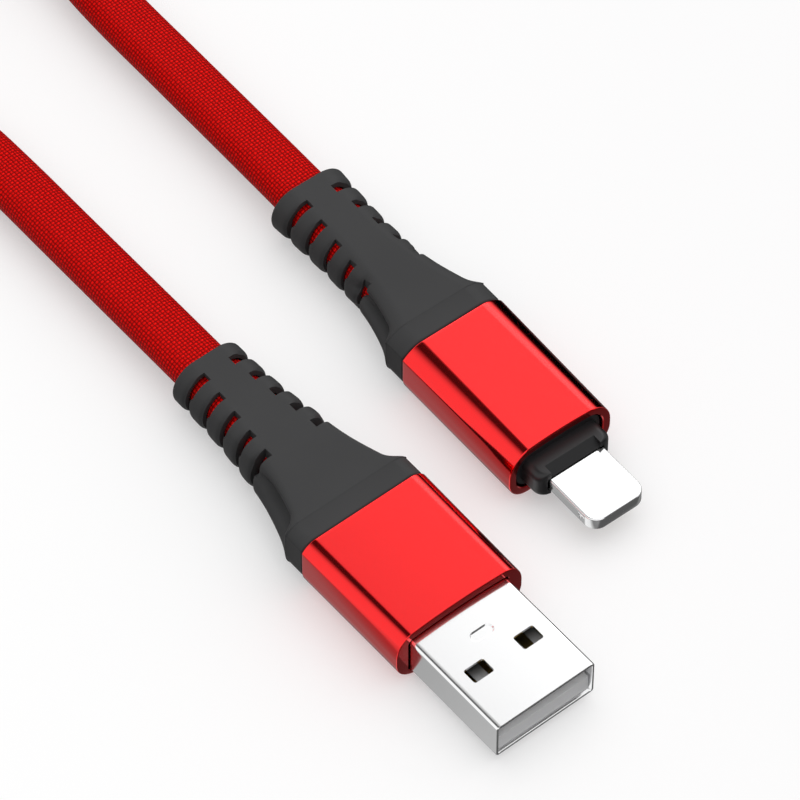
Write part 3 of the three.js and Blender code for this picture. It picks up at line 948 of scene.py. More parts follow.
@dataclass
class Sleeve:
    """A plug's metal sleeve: crisp-shouldered at the rear, rounder at its mouth, and hollow."""

    name: str
    place: Placement
    outer: Outline
    mouth: Outline
    bore: Outline
    length: float
    rim: float = 0.1
    lead: float = 0.1
    bow: float = 0.3
    bow_reach: float = 2.0
    margins: tuple[float, float] = (0.2, 0.05)
    quarter: int = 96
    stations: int = 60

    def build(self) -> bpy.types.Object:
        """Carry the outline from the rear rim to the mouth and back through the bore.

        The outline turns evenly along the sleeve into the mouth's. At an eased rim it
        shrinks by rim (1 - cos t) while x runs on by rim sin t. The even stations between
        keep the two margins from the rims.

        Returns:
            The sleeve.
        """
        rear = -self.length
        inwards, onwards = quarter_round(self.rim)
        behind, before = self.margins
        between = np.linspace(rear + self.rim + behind, -self.rim - before, self.stations)
        xs = np.concatenate([rear + self.rim - onwards[::-1], between, onwards - self.rim])
        shrink = np.concatenate([inwards[::-1], np.zeros(len(between)), inwards])
        share = (1 + xs / self.length)[:, None, None]
        whole, inner = (
            mix(
                self.outer.inset(amount).points(self.quarter),
                self.mouth.inset(amount).points(self.quarter),
                share,
            )
            for amount in (0.0, self.rim)
        )
        skin = mix(whole, inner, (shrink / self.rim)[:, None, None])
        bore = self.bore.points(self.quarter)
        wider = self.bore.inset(-self.lead).points(self.quarter)
        stations = list(zip(xs, skin))
        stations += [(0.0, wider), (-self.lead, bore), (rear + self.lead, bore), (rear, wider)]
        rings = self.bowed(along_x(stations))
        made = ring_solid(f"{self.name}_tube", self.place, rings, closed=True, sharp=30.0)
        return finish_piece(made, Surface.RED_ANODISED, self.name)

    def bowed(self, rings: np.ndarray) -> np.ndarray:
        """Set the middle of the mouth back by bow (1 - (2 y / width)^2), fading rearwards.

        Args:
            rings: the sleeve's rings.

        Returns:
            The rings with a bowed mouth.
        """
        x, y = rings[..., 0], rings[..., 1]
        back = self.bow * (1 - (2 * y / self.mouth.width) ** 2)
        fade = np.clip(1 + x / self.bow_reach, 0.0, 1.0)
        return np.concatenate([(x - back * fade)[..., None], rings[..., 1:]], axis=-1)


@dataclass
class StrainRelief:
    """A moulded tail: a slotted oval that flares to a straight band against the sleeve.

    The scoop's range is where it begins, over how much of the way it deepens, and over how
    much it ends; its angle and spread, and the angles between which a groove fades, are in
    degrees above the horizontal.
    """

    name: str
    place: Placement
    sleeve: Outline
    sleeve_length: float
    neck: Outline
    length: float
    band: float
    waist: float
    curve: float
    end_width: float
    waist_width: float
    end_height: float
    slot_pitch: float
    slot_spread: float
    end_ring: float
    slots: int = 5
    slot_width: float = 1.08
    slot_waist: float = 0.26 * CORD_THICKNESS
    slot_bevel: float = 0.3
    slit: float = 0.6
    spine: float = 3.0
    inset: float = 0.12
    step: float = 0.07
    end_edge: float = 0.35
    front_edge: float = 0.12
    taper: float = 0.5
    scoop: float = 1.6
    scoop_range: tuple[float, float, float] = (0.52, 0.3, 0.07)
    scoop_angle: tuple[float, float] = (30.0, 17.0)
    scoop_spread: tuple[float, float] = (12.0, 8.0)
    groove: float = 0.3
    groove_steepness: float = 0.6
    groove_spread: float = 0.42
    groove_angles: tuple[float, float] = (34.0, 52.0)
    least_wall: float = 0.3
    quarter: int = 72
    stations: int = 150

    @property
    def front(self) -> float:
        """The x of the band's front face."""
        return -self.sleeve_length - FIT

    @property
    def tail(self) -> float:
        """The x of the tail's end."""
        return self.front - self.length

    @property
    def band_outline(self) -> Outline:
        """The outline of the straight band."""
        return self.sleeve.inset(self.inset)

    def flare(self) -> tuple[np.ndarray, np.ndarray]:
        """Work out the outside from the tail's end to the band.

        The outline is a mix, by the share of the flare, of the slim end's oval and the
        sleeve's own outline; its width grows as that share to the power of `curve`, and its
        height as the smooth share. It stands proud of the band by `step` times the share.

        Returns:
            The x of each ring, and the rings' y and z.
        """
        full = self.band_outline
        slim = Outline.oval(self.waist_width, self.end_height, self.spine).points(self.quarter)
        slim = slim / [self.waist_width / 2, self.end_height / 2]
        wide = full.points(self.quarter) / [full.width / 2, full.height / 2]
        along = np.linspace(0.0, 1.0, self.stations)
        share = np.clip(1 - (1 - along) * (self.length - self.band) / self.waist, 0.0, 1.0)
        width = mix(self.waist_width, full.width, share**self.curve)
        width = width + (self.end_width - self.waist_width) * (1 - along) ** 3
        height = mix(self.end_height, full.height, smooth(share))
        share = share[:, None, None]
        half = np.stack([width, height], axis=-1)[:, None, :] / 2 + self.step * share
        body = mix(slim[None], wide[None], share) * half
        x = mix(self.tail + self.end_edge, self.front - self.band, along)
        return x, self.grooved(self.scooped(body, along), x)

    def rings(self) -> np.ndarray:
        """Work out the skin's rings: outside to the neck, then back through the bore.

        The tail's end is a quarter round, x = edge (1 - cos t) and inset = edge (1 - sin t).
        The bore is wider past the middle of the end ring, where the cord swells to meet the
        slots, and it widens and narrows over `taper`.

        Returns:
            Rings of points.
        """
        x_body, body = self.flare()
        half = np.abs(body[0]).max(axis=0)
        end, edge = body[0] / half, self.end_edge
        turns = np.linspace(0.0, np.pi / 2, 6)[:-1]
        stations = [
            (self.tail + edge * (1 - np.cos(t)), end * (half - edge * (1 - np.sin(t))))
            for t in turns
        ]
        stations += zip(x_body, body)
        rim, taper, full = self.front_edge, self.taper, self.band_outline
        outlines = (full, full.inset(rim), self.neck, self.bore(0.0), self.bore(1.0))
        band, eased, neck, bore, room = (outline.points(self.quarter) for outline in outlines)
        front, nose, inside = self.front, self.front + NECK, self.tail + 0.6 * self.end_ring
        stations += [
            (front - self.band + 0.1, band), (front - rim, band), (front, eased),
            (front, neck), (nose, neck), (nose, bore),
            (front - taper, bore), (front - 2 * taper, room),
            (inside + taper, room), (inside, bore), (self.tail, bore),
        ]
        return along_x(stations)

    def bore(self, share: float) -> Outline:
        """Work out the bore's outline, an oval with flat strips above and below.

        Args:
            share: how much of the room for the swollen cord it has, from 0 to 1.

        Returns:
            The outline.
        """
        wide = CORD_WIDTH + 2 * FIT + share * CORD_SWELL[0]
        thick = CORD_THICKNESS + 2 * FIT + share * CORD_SWELL[1]
        return Outline.oval(wide, thick, CORD_WIDTH - CORD_THICKNESS)

    def pressed(self, body: np.ndarray, depth: np.ndarray) -> np.ndarray:
        """Move points towards the axis by a depth, but never past the least wall.

        The room for the swollen cord reaches, at each angle, as far as its outline does there.

        Args:
            body: the skin's points round the axis, one row for each ring.
            depth: how far each point is to move, in millimetres.

        Returns:
            The moved points.
        """
        room = np.abs(self.bore(1.0).points(48))
        turns = slant(room)
        order = np.argsort(turns)
        reach = np.interp(slant(body), turns[order], np.linalg.norm(room, axis=1)[order])
        lengths = np.linalg.norm(body, axis=-1)
        spare = np.maximum(lengths - reach - self.least_wall, 0.0)
        return body * (1 - np.minimum(depth, spare) / lengths)[..., None]

    def scooped(self, body: np.ndarray, along: np.ndarray) -> np.ndarray:
        """Press a scoop into each flank: points move inwards by a bell of angle and place.

        The bell's angle and spread change evenly along the flare. Its depth rises smoothly
        over the middle of the flare and ends short of the band.

        Args:
            body: the skin's points.
            along: each ring's share of the way to the band.

        Returns:
            The moved points.
        """
        begins, deepens, ends = self.scoop_range
        reach = smooth((along - begins) / deepens) * smooth((1.0 - along) / ends)
        centre, spread = (
            mix(*pair, along)[:, None] for pair in (self.scoop_angle, self.scoop_spread)
        )
        bell = np.exp(-(((np.degrees(slant(body)) - centre) / spread) ** 2))
        return self.pressed(body, self.scoop * reach[:, None] * bell)

    def grooved(self, body: np.ndarray, x: np.ndarray) -> np.ndarray:
        """Dip the flanks beside each slot, so that the ribs' ends are round.

        The depth is a bell of the distance along x from the slit's middle, held at `groove`,
        and fades out upwards by the smooth share between the two groove angles.

        Args:
            body: the skin's points.
            x: where each ring stands.

        Returns:
            The moved points.
        """
        first = self.tail + self.end_ring + self.slit / 2
        middles = first + np.arange(self.slots) * self.slot_pitch
        bell = np.exp(-(((x[:, None] - middles) / self.groove_spread) ** 2)).sum(axis=1)
        whole, none = self.groove_angles
        fade = smooth((none - np.degrees(slant(body))) / (none - whole))
        depth = np.minimum(self.groove, self.groove_steepness * bell)
        return self.pressed(body, depth[:, None] * fade)

    def slot_cutters(self) -> list[bpy.types.Object]:
        """Make the blocks that cut the slots, each open on the flank and closed at the spine.

        In x and z a block is wide above and below the cord, with a narrow slit beside it,
        which lets the ribs nearly touch at the flank.

        Returns:
            The blocks.
        """
        high, waist, wide = self.end_height, self.slot_waist, self.slot_width
        knee = waist + self.slot_bevel
        profile = np.array(
            [
                [0.0, high], [0.0, knee], [0.0, waist], [0.0, -waist], [0.0, -knee], [0.0, -high],
                [wide, -high], [wide, -knee], [self.slit, -waist], [self.slit, waist],
                [wide, knee], [wide, high],
            ]
        )
        cutters = []
        for i in range(self.slots):
            moved = profile + [self.tail + self.end_ring + i * self.slot_pitch, 0.0]
            inner = self.spine / 2 + i * self.slot_spread
            for side in (-1, 1):
                rings = carried(moved, (side * inner, side * self.end_width))
                cutters.append(ring_solid("slot", self.place, rings))
        return cutters

    def build(self) -> bpy.types.Object:
        """Loft the tail and cut its slots.

        Returns:
            The strain relief.
        """
        made = ring_solid(f"{self.name}_tail", self.place, self.rings(), closed=True)
        carve(made, self.slot_cutters())
        return finish_piece(made, Surface.BLACK_RUBBER, self.name)


@dataclass
class ChargerPlug:
    """The wide plug: a folded shell in a red sleeve, with its carrier and contacts.

    A window is given by its length and width, and the dimple by its length, width and depth
    and by the corners of its floor and its mouth.
    """

    place: Placement
    sleeve: Outline
    mouth: Outline
    sleeve_length: float = 14.6
    shell: Outline = field(default_factory=lambda: Outline.even(12.0, 4.5, 0.36))
    wall: float = 0.3
    fold: float = 0.06
    edge: float = 0.05
    reach: float = 12.65
    seat: float = 6.0
    window: tuple[float, float] = (1.8, 2.4)
    window_corner: float = 0.25
    window_spacing: float = 6.08
    window_from_tip: float = 6.2
    dimple: tuple[float, float, float] = (1.2, 2.6, 0.15)
    dimple_corners: tuple[float, float] = (0.43, 0.55)
    dimple_from_tip: float = 9.4
    draft: float = 0.12
    bore_corner: float = 0.5

    def build_shell(self) -> bpy.types.Object:
        """Carry the shell's outline along and back inside it, then cut windows and dimple.

        Returns:
            The shell.
        """
        insets = (0.0, self.fold, self.wall - self.fold, self.wall)
        outer, eased, lip, inner = (self.shell.inset(amount).points(60) for amount in insets)
        rings = [
            (-self.seat, outer),
            (self.reach - self.fold, outer),
            (self.reach, eased),
            (self.reach, lip),
            (self.reach - 2 * self.fold, inner),
            (-self.seat, inner),
        ]
        made = ring_solid("charger_shell", self.place, along_x(rings), closed=True)
        carve(made, [*self.window_cutters(), self.dimple_cutter()])
        soften(made, self.edge)
        return finish_piece(made, Surface.NICKEL, "charger_shield")

    def window_cutters(self) -> list[bpy.types.Object]:
        """Make the cutters for two pairs of windows, each through both faces.

        Returns:
            The cutters.
        """
        middle = self.reach - self.window_from_tip
        length, width = self.window
        rear, front, corner = middle - length / 2, middle + length / 2, self.window_corner
        through = 4.0
        cutters = []
        for side in (-1, 1):
            plan = round_plan(rear, front, width, corner, corner)
            plan = plan + [0.0, side * self.window_spacing / 2]
            rings = plate_rings(plan, -through, through, CUT_EDGE)
            cutters.append(ring_solid("window", self.place, rings))
        return cutters

    def dimple_cutter(self) -> bpy.types.Object:
        """Make the cutter for the dimple: a floor and a mouth wider by the draft all round.

        Returns:
            The cutter.
        """
        length, width, depth = self.dimple
        middle, draft, top = self.reach - self.dimple_from_tip, self.draft, self.shell.height / 2
        rear, front = middle - length / 2, middle + length / 2
        low, high = self.dimple_corners
        floor = round_plan(rear + draft, front - draft, width - 2 * draft, low, low)
        mouth = round_plan(rear, front, width, high, high)
        rings = levels_up([(floor, top - depth), (mouth, top), (mouth, top + PAST)])
        return ring_solid("dimple", self.place, rings)

    def build(self) -> None:
        """Build and dress every piece of the plug."""
        width, height = self.shell.width + 2 * FIT, self.shell.height + 2 * FIT
        bore = Outline.even(width, height, self.bore_corner)
        Sleeve(
            "charger_sleeve", self.place, self.sleeve, self.mouth, bore, self.sleeve_length
        ).build()
        StrainRelief(
            "charger_strain_relief", self.place, self.sleeve, self.sleeve_length, self.shell,
            length=24.55, band=2.45, waist=22.1, curve=2.8, end_width=8.4, waist_width=8.4,
            end_height=5.7, slot_pitch=2.8, slot_spread=0.31, end_ring=1.9,
        ).build()
        self.build_shell()
        dress_node("charger_tongue", Surface.GREY_PLASTIC)
        dress_node("charger_inner_mould", Surface.WHITE_PLASTIC)
        for wire in ("power", "data_minus", "data_plus", "ground"):
            dress_node(f"charger_contact_{wire}", Surface.GOLD)
        dress_wires("charger")


@dataclass
class PhonePlug:
    """The narrow plug: a plated tab in a black nose in a red sleeve.

    A latch is given by its length, height and depth, the opening for the contacts by its
    length, width and depth, and the nose's slope by its width, run and drop.
    """

    place: Placement
    sleeve: Outline
    mouth: Outline
    sleeve_length: float = 17.1
    wall: float = 0.9
    tab_width: float = 6.7
    tab_thickness: float = 1.5
    tab_corner: float = 1.4
    tab_edge: float = 0.14
    tab_reach: float = 9.2
    tab_seat: float = 5.0
    tang: float = 1.3
    latch: tuple[float, float, float] = (0.95, 0.8, 0.3)
    latch_from_tip: float = 1.9
    opening: tuple[float, float, float] = (2.7, 6.0, 0.4)
    opening_from_tip: float = 1.35
    nose: Outline = field(default_factory=lambda: Outline.even(9.15, 3.2, 0.85))
    nose_edge: float = 0.07
    nose_reach: float = 2.35
    ear: float = 1.0
    slope: tuple[float, float, float] = (6.1, 1.1, 0.85)
    nose_plate: float = 3.0
    nose_setback: float = 0.4

    def build_tab(self) -> bpy.types.Object:
        """Make the tab from its plan outline, then cut its latches, tang and opening.

        Returns:
            The tab.
        """
        square, width, half = 0.05, self.tab_width, self.tab_thickness / 2
        wide, deep = 9.0, 2.0
        plan = round_plan(-self.tab_seat, self.tab_reach, width, square, self.tab_corner)
        rings = plate_rings(plan, -half, half, self.tab_edge)
        made = ring_solid("phone_tab_plate", self.place, rings)
        length, height, depth = self.latch
        x = self.tab_reach - self.latch_from_tip
        notch = round_plan(x - length / 2, x + length / 2, 2 * PAST, 0.1, 0.1)
        tang_front = self.nose_reach + FIT
        face = round_plan(-self.tab_seat - PAST, tang_front, wide, square, square)
        blocks = []
        for side in (-1, 1):
            moved = notch + [0.0, side * (width / 2 - depth + PAST)]
            blocks.append(plate_rings(moved, -height / 2, height / 2, 2 * CUT_EDGE))
            low, high = sorted((side * self.tang / 2, side * 2 * half))
            blocks.append(plate_rings(face, low, high, CUT_EDGE))
        length, width, depth = self.opening
        front = self.tab_reach - self.opening_from_tip
        plan = round_plan(front - length, front, width, length / 4, length / 4)
        blocks.append(plate_rings(plan, -deep, depth - half, CUT_EDGE))
        carve(made, [ring_solid("cutter", self.place, block) for block in blocks])
        return finish_piece(made, Surface.NICKEL, "phone_tab")

    def build_nose(self) -> bpy.types.Object:
        """Carry the nose forward, return through the tab's slot, and slope its middle.

        Over the last `ear` the width falls as a quarter circle in plan, which rounds the two
        ears; between them a wedge above and below slopes the faces down to the tab.

        Returns:
            The nose.
        """
        quarter, steps, setback = 48, 12, self.nose_setback
        seat = self.mouth.inset(self.wall + FIT).points(quarter)
        nose = self.nose.points(quarter)
        profile = nose / [self.nose.width / 2, self.nose.height / 2]
        run = np.linspace(0.0, self.ear, steps)
        fall = self.ear - np.sqrt(self.ear**2 - run**2)
        sizes = np.stack(
            [self.nose.width / 2 - fall, np.full(steps, self.nose.height / 2)], axis=-1
        )
        tunnel = Outline.even(self.tab_width + 2 * FIT, self.tang + 2 * FIT, 0.1).points(quarter)
        rings = [
            (-self.nose_plate, seat),
            (-setback - 0.1, seat),
            (-setback, seat * 0.985),
            (-setback, nose),
        ]
        start = self.nose_reach - self.ear
        rings += [(start + r, profile * size) for r, size in zip(run, sizes)]
        rings += [(self.nose_reach, tunnel), (-self.nose_plate, tunnel)]
        made = ring_solid("phone_nose", self.place, along_x(rings), closed=True, sharp=25.0)
        carve(made, [self.slope_cutter(1), self.slope_cutter(-1)])
        soften(made, self.nose_edge)
        return finish_piece(made, Surface.BLACK_PLASTIC, "phone_collar")

    def slope_cutter(self, side: int) -> bpy.types.Object:
        """Make the wedge for one face: a four-cornered profile in x and z, carried across.

        Args:
            side: 1 above the tab and -1 below it.

        Returns:
            The wedge.
        """
        width, run, drop = self.slope
        top, rear, front = self.nose.height / 2, self.nose_reach - run, self.nose_reach + PAST
        low = top - drop * (run + PAST) / run
        profile = np.array([[rear, top], [front, low], [front, top + PAST], [rear, top + PAST]])
        rings = carried(profile * [1, side], (-width / 2, width / 2))
        return ring_solid("slope", self.place, rings)

    def build(self) -> None:
        """Build and dress every piece of the plug."""
        bore = self.mouth.inset(self.wall)
        Sleeve(
            "phone_sleeve", self.place, self.sleeve, self.mouth, bore, self.sleeve_length, rim=0.16
        ).build()
        StrainRelief(
            "phone_strain_relief", self.place, self.sleeve, self.sleeve_length,
            self.sleeve.inset(self.wall + FIT),
            length=23.5, band=2.55, waist=12.9, curve=2.4, end_width=9.1, waist_width=8.1,
            end_height=5.8, slot_pitch=2.85, slot_spread=0.38, end_ring=2.2,
        ).build()
        self.build_tab()
        self.build_nose()
        dress_node("phone_contact_block", Surface.BLACK_PLASTIC)
        for pad in range(1, 9):
            dress_node(f"phone_contact_{pad}", Surface.GOLD)
        dress_node("phone_board", Surface.GREEN_BOARD)
        dress_node("phone_chip", Surface.BLACK_PLASTIC)
        dress_node("phone_inner_mould", Surface.WHITE_PLASTIC)
        dress_wires("phone")


# ---------------------------------------------------------------- cord


def catmull_rom(points: np.ndarray, per: int = 24) -> np.ndarray:
    """Return a smooth line through points.

    Between points b and c with neighbours a and d it is half of
    2b + (c - a) t + (2a - 5b + 4c - d) t^2 + (3b - a - 3c + d) t^3.

    Args:
        points: the points that it passes through.
        per: samples in each span.

    Returns:
        The samples, ending at the last point.
    """
    padded = np.vstack([2 * points[0] - points[1], points, 2 * points[-1] - points[-2]])
    a, b, c, d = (padded[k : k + len(points) - 1, None, :] for k in range(4))
    t = np.linspace(0.0, 1.0, per, endpoint=False)[None, :, None]
    line = 2 * b + (c - a) * t + (2 * a - 5 * b + 4 * c - d) * t**2
    line = line + (3 * b - a - 3 * c + d) * t**3
    return np.vstack([(line / 2).reshape(-1, 3), points[-1:]])


@dataclass
class Hank:
    """The spare cord, wound to and fro on edge: two tracks side by side, in two layers.

    `near` and `far` are the x of its two ends' centres, `middle` their y, `inner` and
    `outer` the radii of its tracks, `low` and `high` the heights of its layers, and `entry`
    is the x at which the cord comes to it and leaves it.
    """

    middle: float = 7.5
    near: float = -135.15
    far: float = -179.15
    inner: float = 17.7
    outer: float = 21.4
    low: float = 4.2
    high: float = 10.5
    entry: float = -120.55

    def turn(
        self, near: bool, radii: tuple[float, float, float, float], heights: tuple[float, float]
    ) -> np.ndarray:
        """Work out one half turn.

        A half circle, clockwise from above, whose radius goes smoothly from the first of
        radii to the second between the shares given third and fourth, and whose height
        changes smoothly between a quarter and three quarters of the way.

        Args:
            near: whether it is at the end nearest the plugs.
            radii: start radius, end radius, and the shares between which it changes.
            heights: start height and end height.

        Returns:
            Its points.
        """
        t = np.linspace(0.0, 1.0, 40)
        start = np.pi / 2 if near else -np.pi / 2
        angle = start - np.pi * t
        first, last, begins, ends = radii
        radius = mix(first, last, smooth((t - begins) / (ends - begins)))
        x = (self.near if near else self.far) + radius * np.cos(angle)
        y = self.middle + radius * np.sin(angle)
        return np.column_stack([x, y, mix(*heights, smooth((t - 0.25) / 0.5))])

    def line(self) -> np.ndarray:
        """Work out the winding, from the charger plug's side to the phone plug's.

        Returns:
            Its points.
        """
        outer, inner = (self.outer, self.outer, 0.0, 1.0), (self.inner, self.inner, 0.0, 1.0)
        low, high = (self.low, self.low), (self.high, self.high)
        turns = [
            self.turn(False, outer, low),
            self.turn(True, (self.outer, self.inner, 0.6, 1.0), low),
            self.turn(False, inner, low),
            self.turn(True, inner, (self.low, self.high)),
            self.turn(False, inner, high),
            self.turn(True, (self.inner, self.outer, 0.0, 0.4), high),
            self.turn(False, outer, high),
        ]
        start = [[self.entry, self.middle - self.outer, self.low]]
        end = [[self.entry, self.middle + self.outer, self.high]]
        return np.vstack([start, *turns, end])


@dataclass
class Cord:
    """The flat braided cord: charger plug, hank, phone plug, in one piece.

    Each pair of ends is the x of the cord's own end inside a plug and of the tail of its
    strain relief. The cord rolls on edge over `roll` before the hank, and back after it.
    """

    room: Placement
    charger: Placement
    phone: Placement
    hank: Hank
    width: float = CORD_WIDTH
    thickness: float = CORD_THICKNESS
    hold: float = 1.5
    spacing: float = 0.55
    mean_over: int = 9
    roll: float = 40.0
    charger_ends: tuple[float, float] = (-11.6, -39.3)
    phone_ends: tuple[float, float] = (-14.1, -40.75)
    charger_route: tuple[tuple[float, float, float], ...] = (
        (-52, 0, 3.3), (-62, 0, 3.2), (-72, 0, 3.1), (-80, -0.4, 3.0), (-88, -2.6, 2.9),
        (-96, -6.2, 3.0), (-104, -9.8, 3.5), (-112, -12.5, 4.0),
    )
    phone_route: tuple[tuple[float, float, float], ...] = (
        (-60, 21.66, 3.4), (-72, 21.91, 3.25), (-84, 22.16, 3.2), (-92, 22.8, 3.9),
        (-100, 24.4, 5.7), (-108, 26.6, 8.0), (-115, 28.2, 9.8),
    )

    def through(self, plug: Placement, ends: tuple[float, float]) -> np.ndarray:
        """Work out the straight start of the cord inside a plug.

        Args:
            plug: where the plug lies.
            ends: the x of the cord's end and of the strain relief's tail.

        Returns:
            Its points, in the cord's own millimetres.
        """
        end, tail = ends
        xs = [end, end - NECK, (end + tail) / 2, tail, tail - NECK]
        return plug.world(np.array([[x, 0.0, 0.0] for x in xs])) / MM - self.room.origin

    def line(self) -> tuple[np.ndarray, np.ndarray]:
        """Work out the cord's middle line, evenly sampled and smoothed by a running mean.

        Returns:
            Its points, and at each how far it is turned on edge: 0 where the cord lies flat
            and 1 in the hank.
        """
        winding = self.hank.line()
        first = np.vstack([self.through(self.charger, self.charger_ends), self.charger_route])
        last = np.vstack([self.through(self.phone, self.phone_ends), self.phone_route])
        first = catmull_rom(np.vstack([first, winding[:1]]))
        last = catmull_rom(np.vstack([last, winding[-1:]]))[::-1]
        whole = np.vstack([first[:-1], winding, last[1:]])
        total = arc_lengths(whole)[-1]
        at = np.linspace(0.0, total, int(total / self.spacing))
        line = resampled(whole, at)
        kernel, kept = np.ones(self.mean_over) / self.mean_over, self.mean_over // 2
        inside = np.stack([np.convolve(axis, kernel, mode="valid") for axis in line.T], axis=1)
        line = np.vstack([line[:kept], inside, line[-kept:]])
        into = arc_lengths(first)[-1] - self.roll
        out = total - arc_lengths(last)[-1] + self.roll
        over = self.roll - 2.0
        return line, smooth((at - into) / over) * smooth((out - at) / over)

    def swelling(self, line: np.ndarray) -> np.ndarray:
        """Work out how far the cord swells along its line.

        Args:
            line: its points.

        Returns:
            At each point 1 behind a relief's slots and 0 elsewhere, with smooth changes.
        """
        run = arc_lengths(line)
        start, change = NECK + 1.3, 0.5
        first, last = (
            smooth((at - start) / change) * smooth((end - tail - self.hold - at) / change)
            for at, (end, tail) in ((run, self.charger_ends), (run[-1] - run, self.phone_ends))
        )
        return first + last

    def build(self) -> bpy.types.Object:
        """Carry the flat oval along the line, turning it on edge where it enters the hank.

        The section's long axis is cos(a) times the level normal of the line plus sin(a)
        times the upright one, with a a quarter turn times the turn on edge.

        Returns:
            The cord.
        """
        line, edge = self.line()
        ahead = unit(np.gradient(line, axis=0))
        level = unit(np.cross([0.0, 0.0, 1.0], ahead))
        upright = np.cross(ahead, level)
        a = column(edge * np.pi / 2)
        long_axis = np.cos(a) * level + np.sin(a) * upright
        short_axis = -np.sin(a) * level + np.cos(a) * upright
        section = Outline.oval(self.width, self.thickness, self.width - self.thickness).points(12)
        size = column([self.width, self.thickness])
        wide, thick = 1 + self.swelling(line) * column(CORD_SWELL) / size
        rings = (
            line[:, None]
            + (section[None, :, 0] * wide[:, None])[..., None] * long_axis[:, None]
            + (section[None, :, 1] * thick[:, None])[..., None] * short_axis[:, None]
        )
        made = ring_solid("flat_cord", self.room, rings, sharp=80.0)
        self.map_threads(made.data, line, section)
        nodes = ("cord_charger_run", "cord_hank", "cord_phone_run")
        return finish_piece(made, Surface.RED_BRAID, *nodes)

    def map_threads(self, mesh: bpy.types.Mesh, line: np.ndarray, section: np.ndarray) -> None:
        """Lay the thread map: u runs along the cord and v round it, both in millimetres.

        The way round is stretched to a whole number of pairs of threads. A face that joins a
        ring's last point to its first takes the whole way round as the first point's v.

        Args:
            mesh: the cord's mesh.
            line: its middle line.
            section: its section.
        """
        around = len(section)
        v_at = arc_lengths(np.vstack([section, section[:1]]))
        v_at = v_at / v_at[-1] * round(v_at[-1] / THREAD / 2) * 2 * THREAD
        ring, place = corner_places(mesh, len(line), around)
        counts = np.empty(len(mesh.polygons), dtype=np.int64)
        mesh.polygons.foreach_get("loop_total", counts)
        face = np.repeat(np.arange(len(counts)), counts)
        joins = np.zeros(len(counts), dtype=bool)
        np.logical_or.at(joins, face, place == around - 1)
        v = np.where(joins[face] & (place == 0), v_at[-1], v_at[place])
        lay_threads(mesh, arc_lengths(line)[ring], v)

    def declare(self) -> None:
        """Work out points along the cord, which is a metre long from the charger plug back to the
        phone plug, and behind the charger's tail; nothing uses them.
        """
        line, _ = self.line()
        path = self.room.world(line[::12])
        tail = self.charger.world(np.array([self.charger_ends[1] - 0.5, 0.0, 0.0]))


@dataclass
class Strap:
    """A hook-and-loop strap round the turns on one side of the hank, its end lapped on top."""

    node: str
    side: int
    room: Placement
    hank: Hank
    length: float = 9.0
    thickness: float = 0.8
    gap: float = 0.3
    lap_gap: float = 0.08
    turns: float = 1.22
    quarter: int = 60

    def build(self) -> bpy.types.Object:
        """Carry the strap's flat section once round the bundle and over its own start.

        The path is the bundle's rounded outline; after a full turn it rises smoothly by one
        strap's thickness, over a few points, and runs on for a fifth of the way.

        Returns:
            The strap.
        """
        hank = self.hank
        wide = hank.outer - hank.inner + CORD_THICKNESS + 2 * self.gap
        tall = hank.high - hank.low + CORD_WIDTH + 2 * self.gap
        ring = Outline.even(wide + self.thickness, tall + self.thickness, 1.2).points(self.quarter)
        count, start, rise = len(ring), len(ring) - 24, 12
        order = np.arange(start, start + int(count * self.turns))
        path = ring[order % count]
        ahead = unit(np.gradient(path, axis=0))
        outward = np.column_stack([-ahead[:, 1], ahead[:, 0]])
        lap = smooth((order - start - count + rise) / rise) * (self.thickness + self.lap_gap)
        path = path + column(lap) * outward
        across = Outline.even(self.length, self.thickness, 0.3).points(6)
        middle = (hank.near + hank.far) / 2
        flat = path[:, None] + across[None, :, 1:] * outward[:, None]
        x = np.broadcast_to(middle + across[None, :, :1], (*flat.shape[:2], 1))
        y = hank.middle + self.side * (hank.inner + hank.outer) / 2
        rings = np.concatenate([x, flat + [y, (hank.low + hank.high) / 2]], axis=-1)
        made = ring_solid(f"{self.node}_strap", self.room, rings, sharp=60.0)
        ring, place = corner_places(made.data, *rings.shape[:2])
        v_at = arc_lengths(rings[0])
        lay_threads(made.data, arc_lengths(rings[:, 0])[ring], v_at[place])
        return finish_piece(made, Surface.BLACK_STRAP, self.node)


# ---------------------------------------------------------------- studio


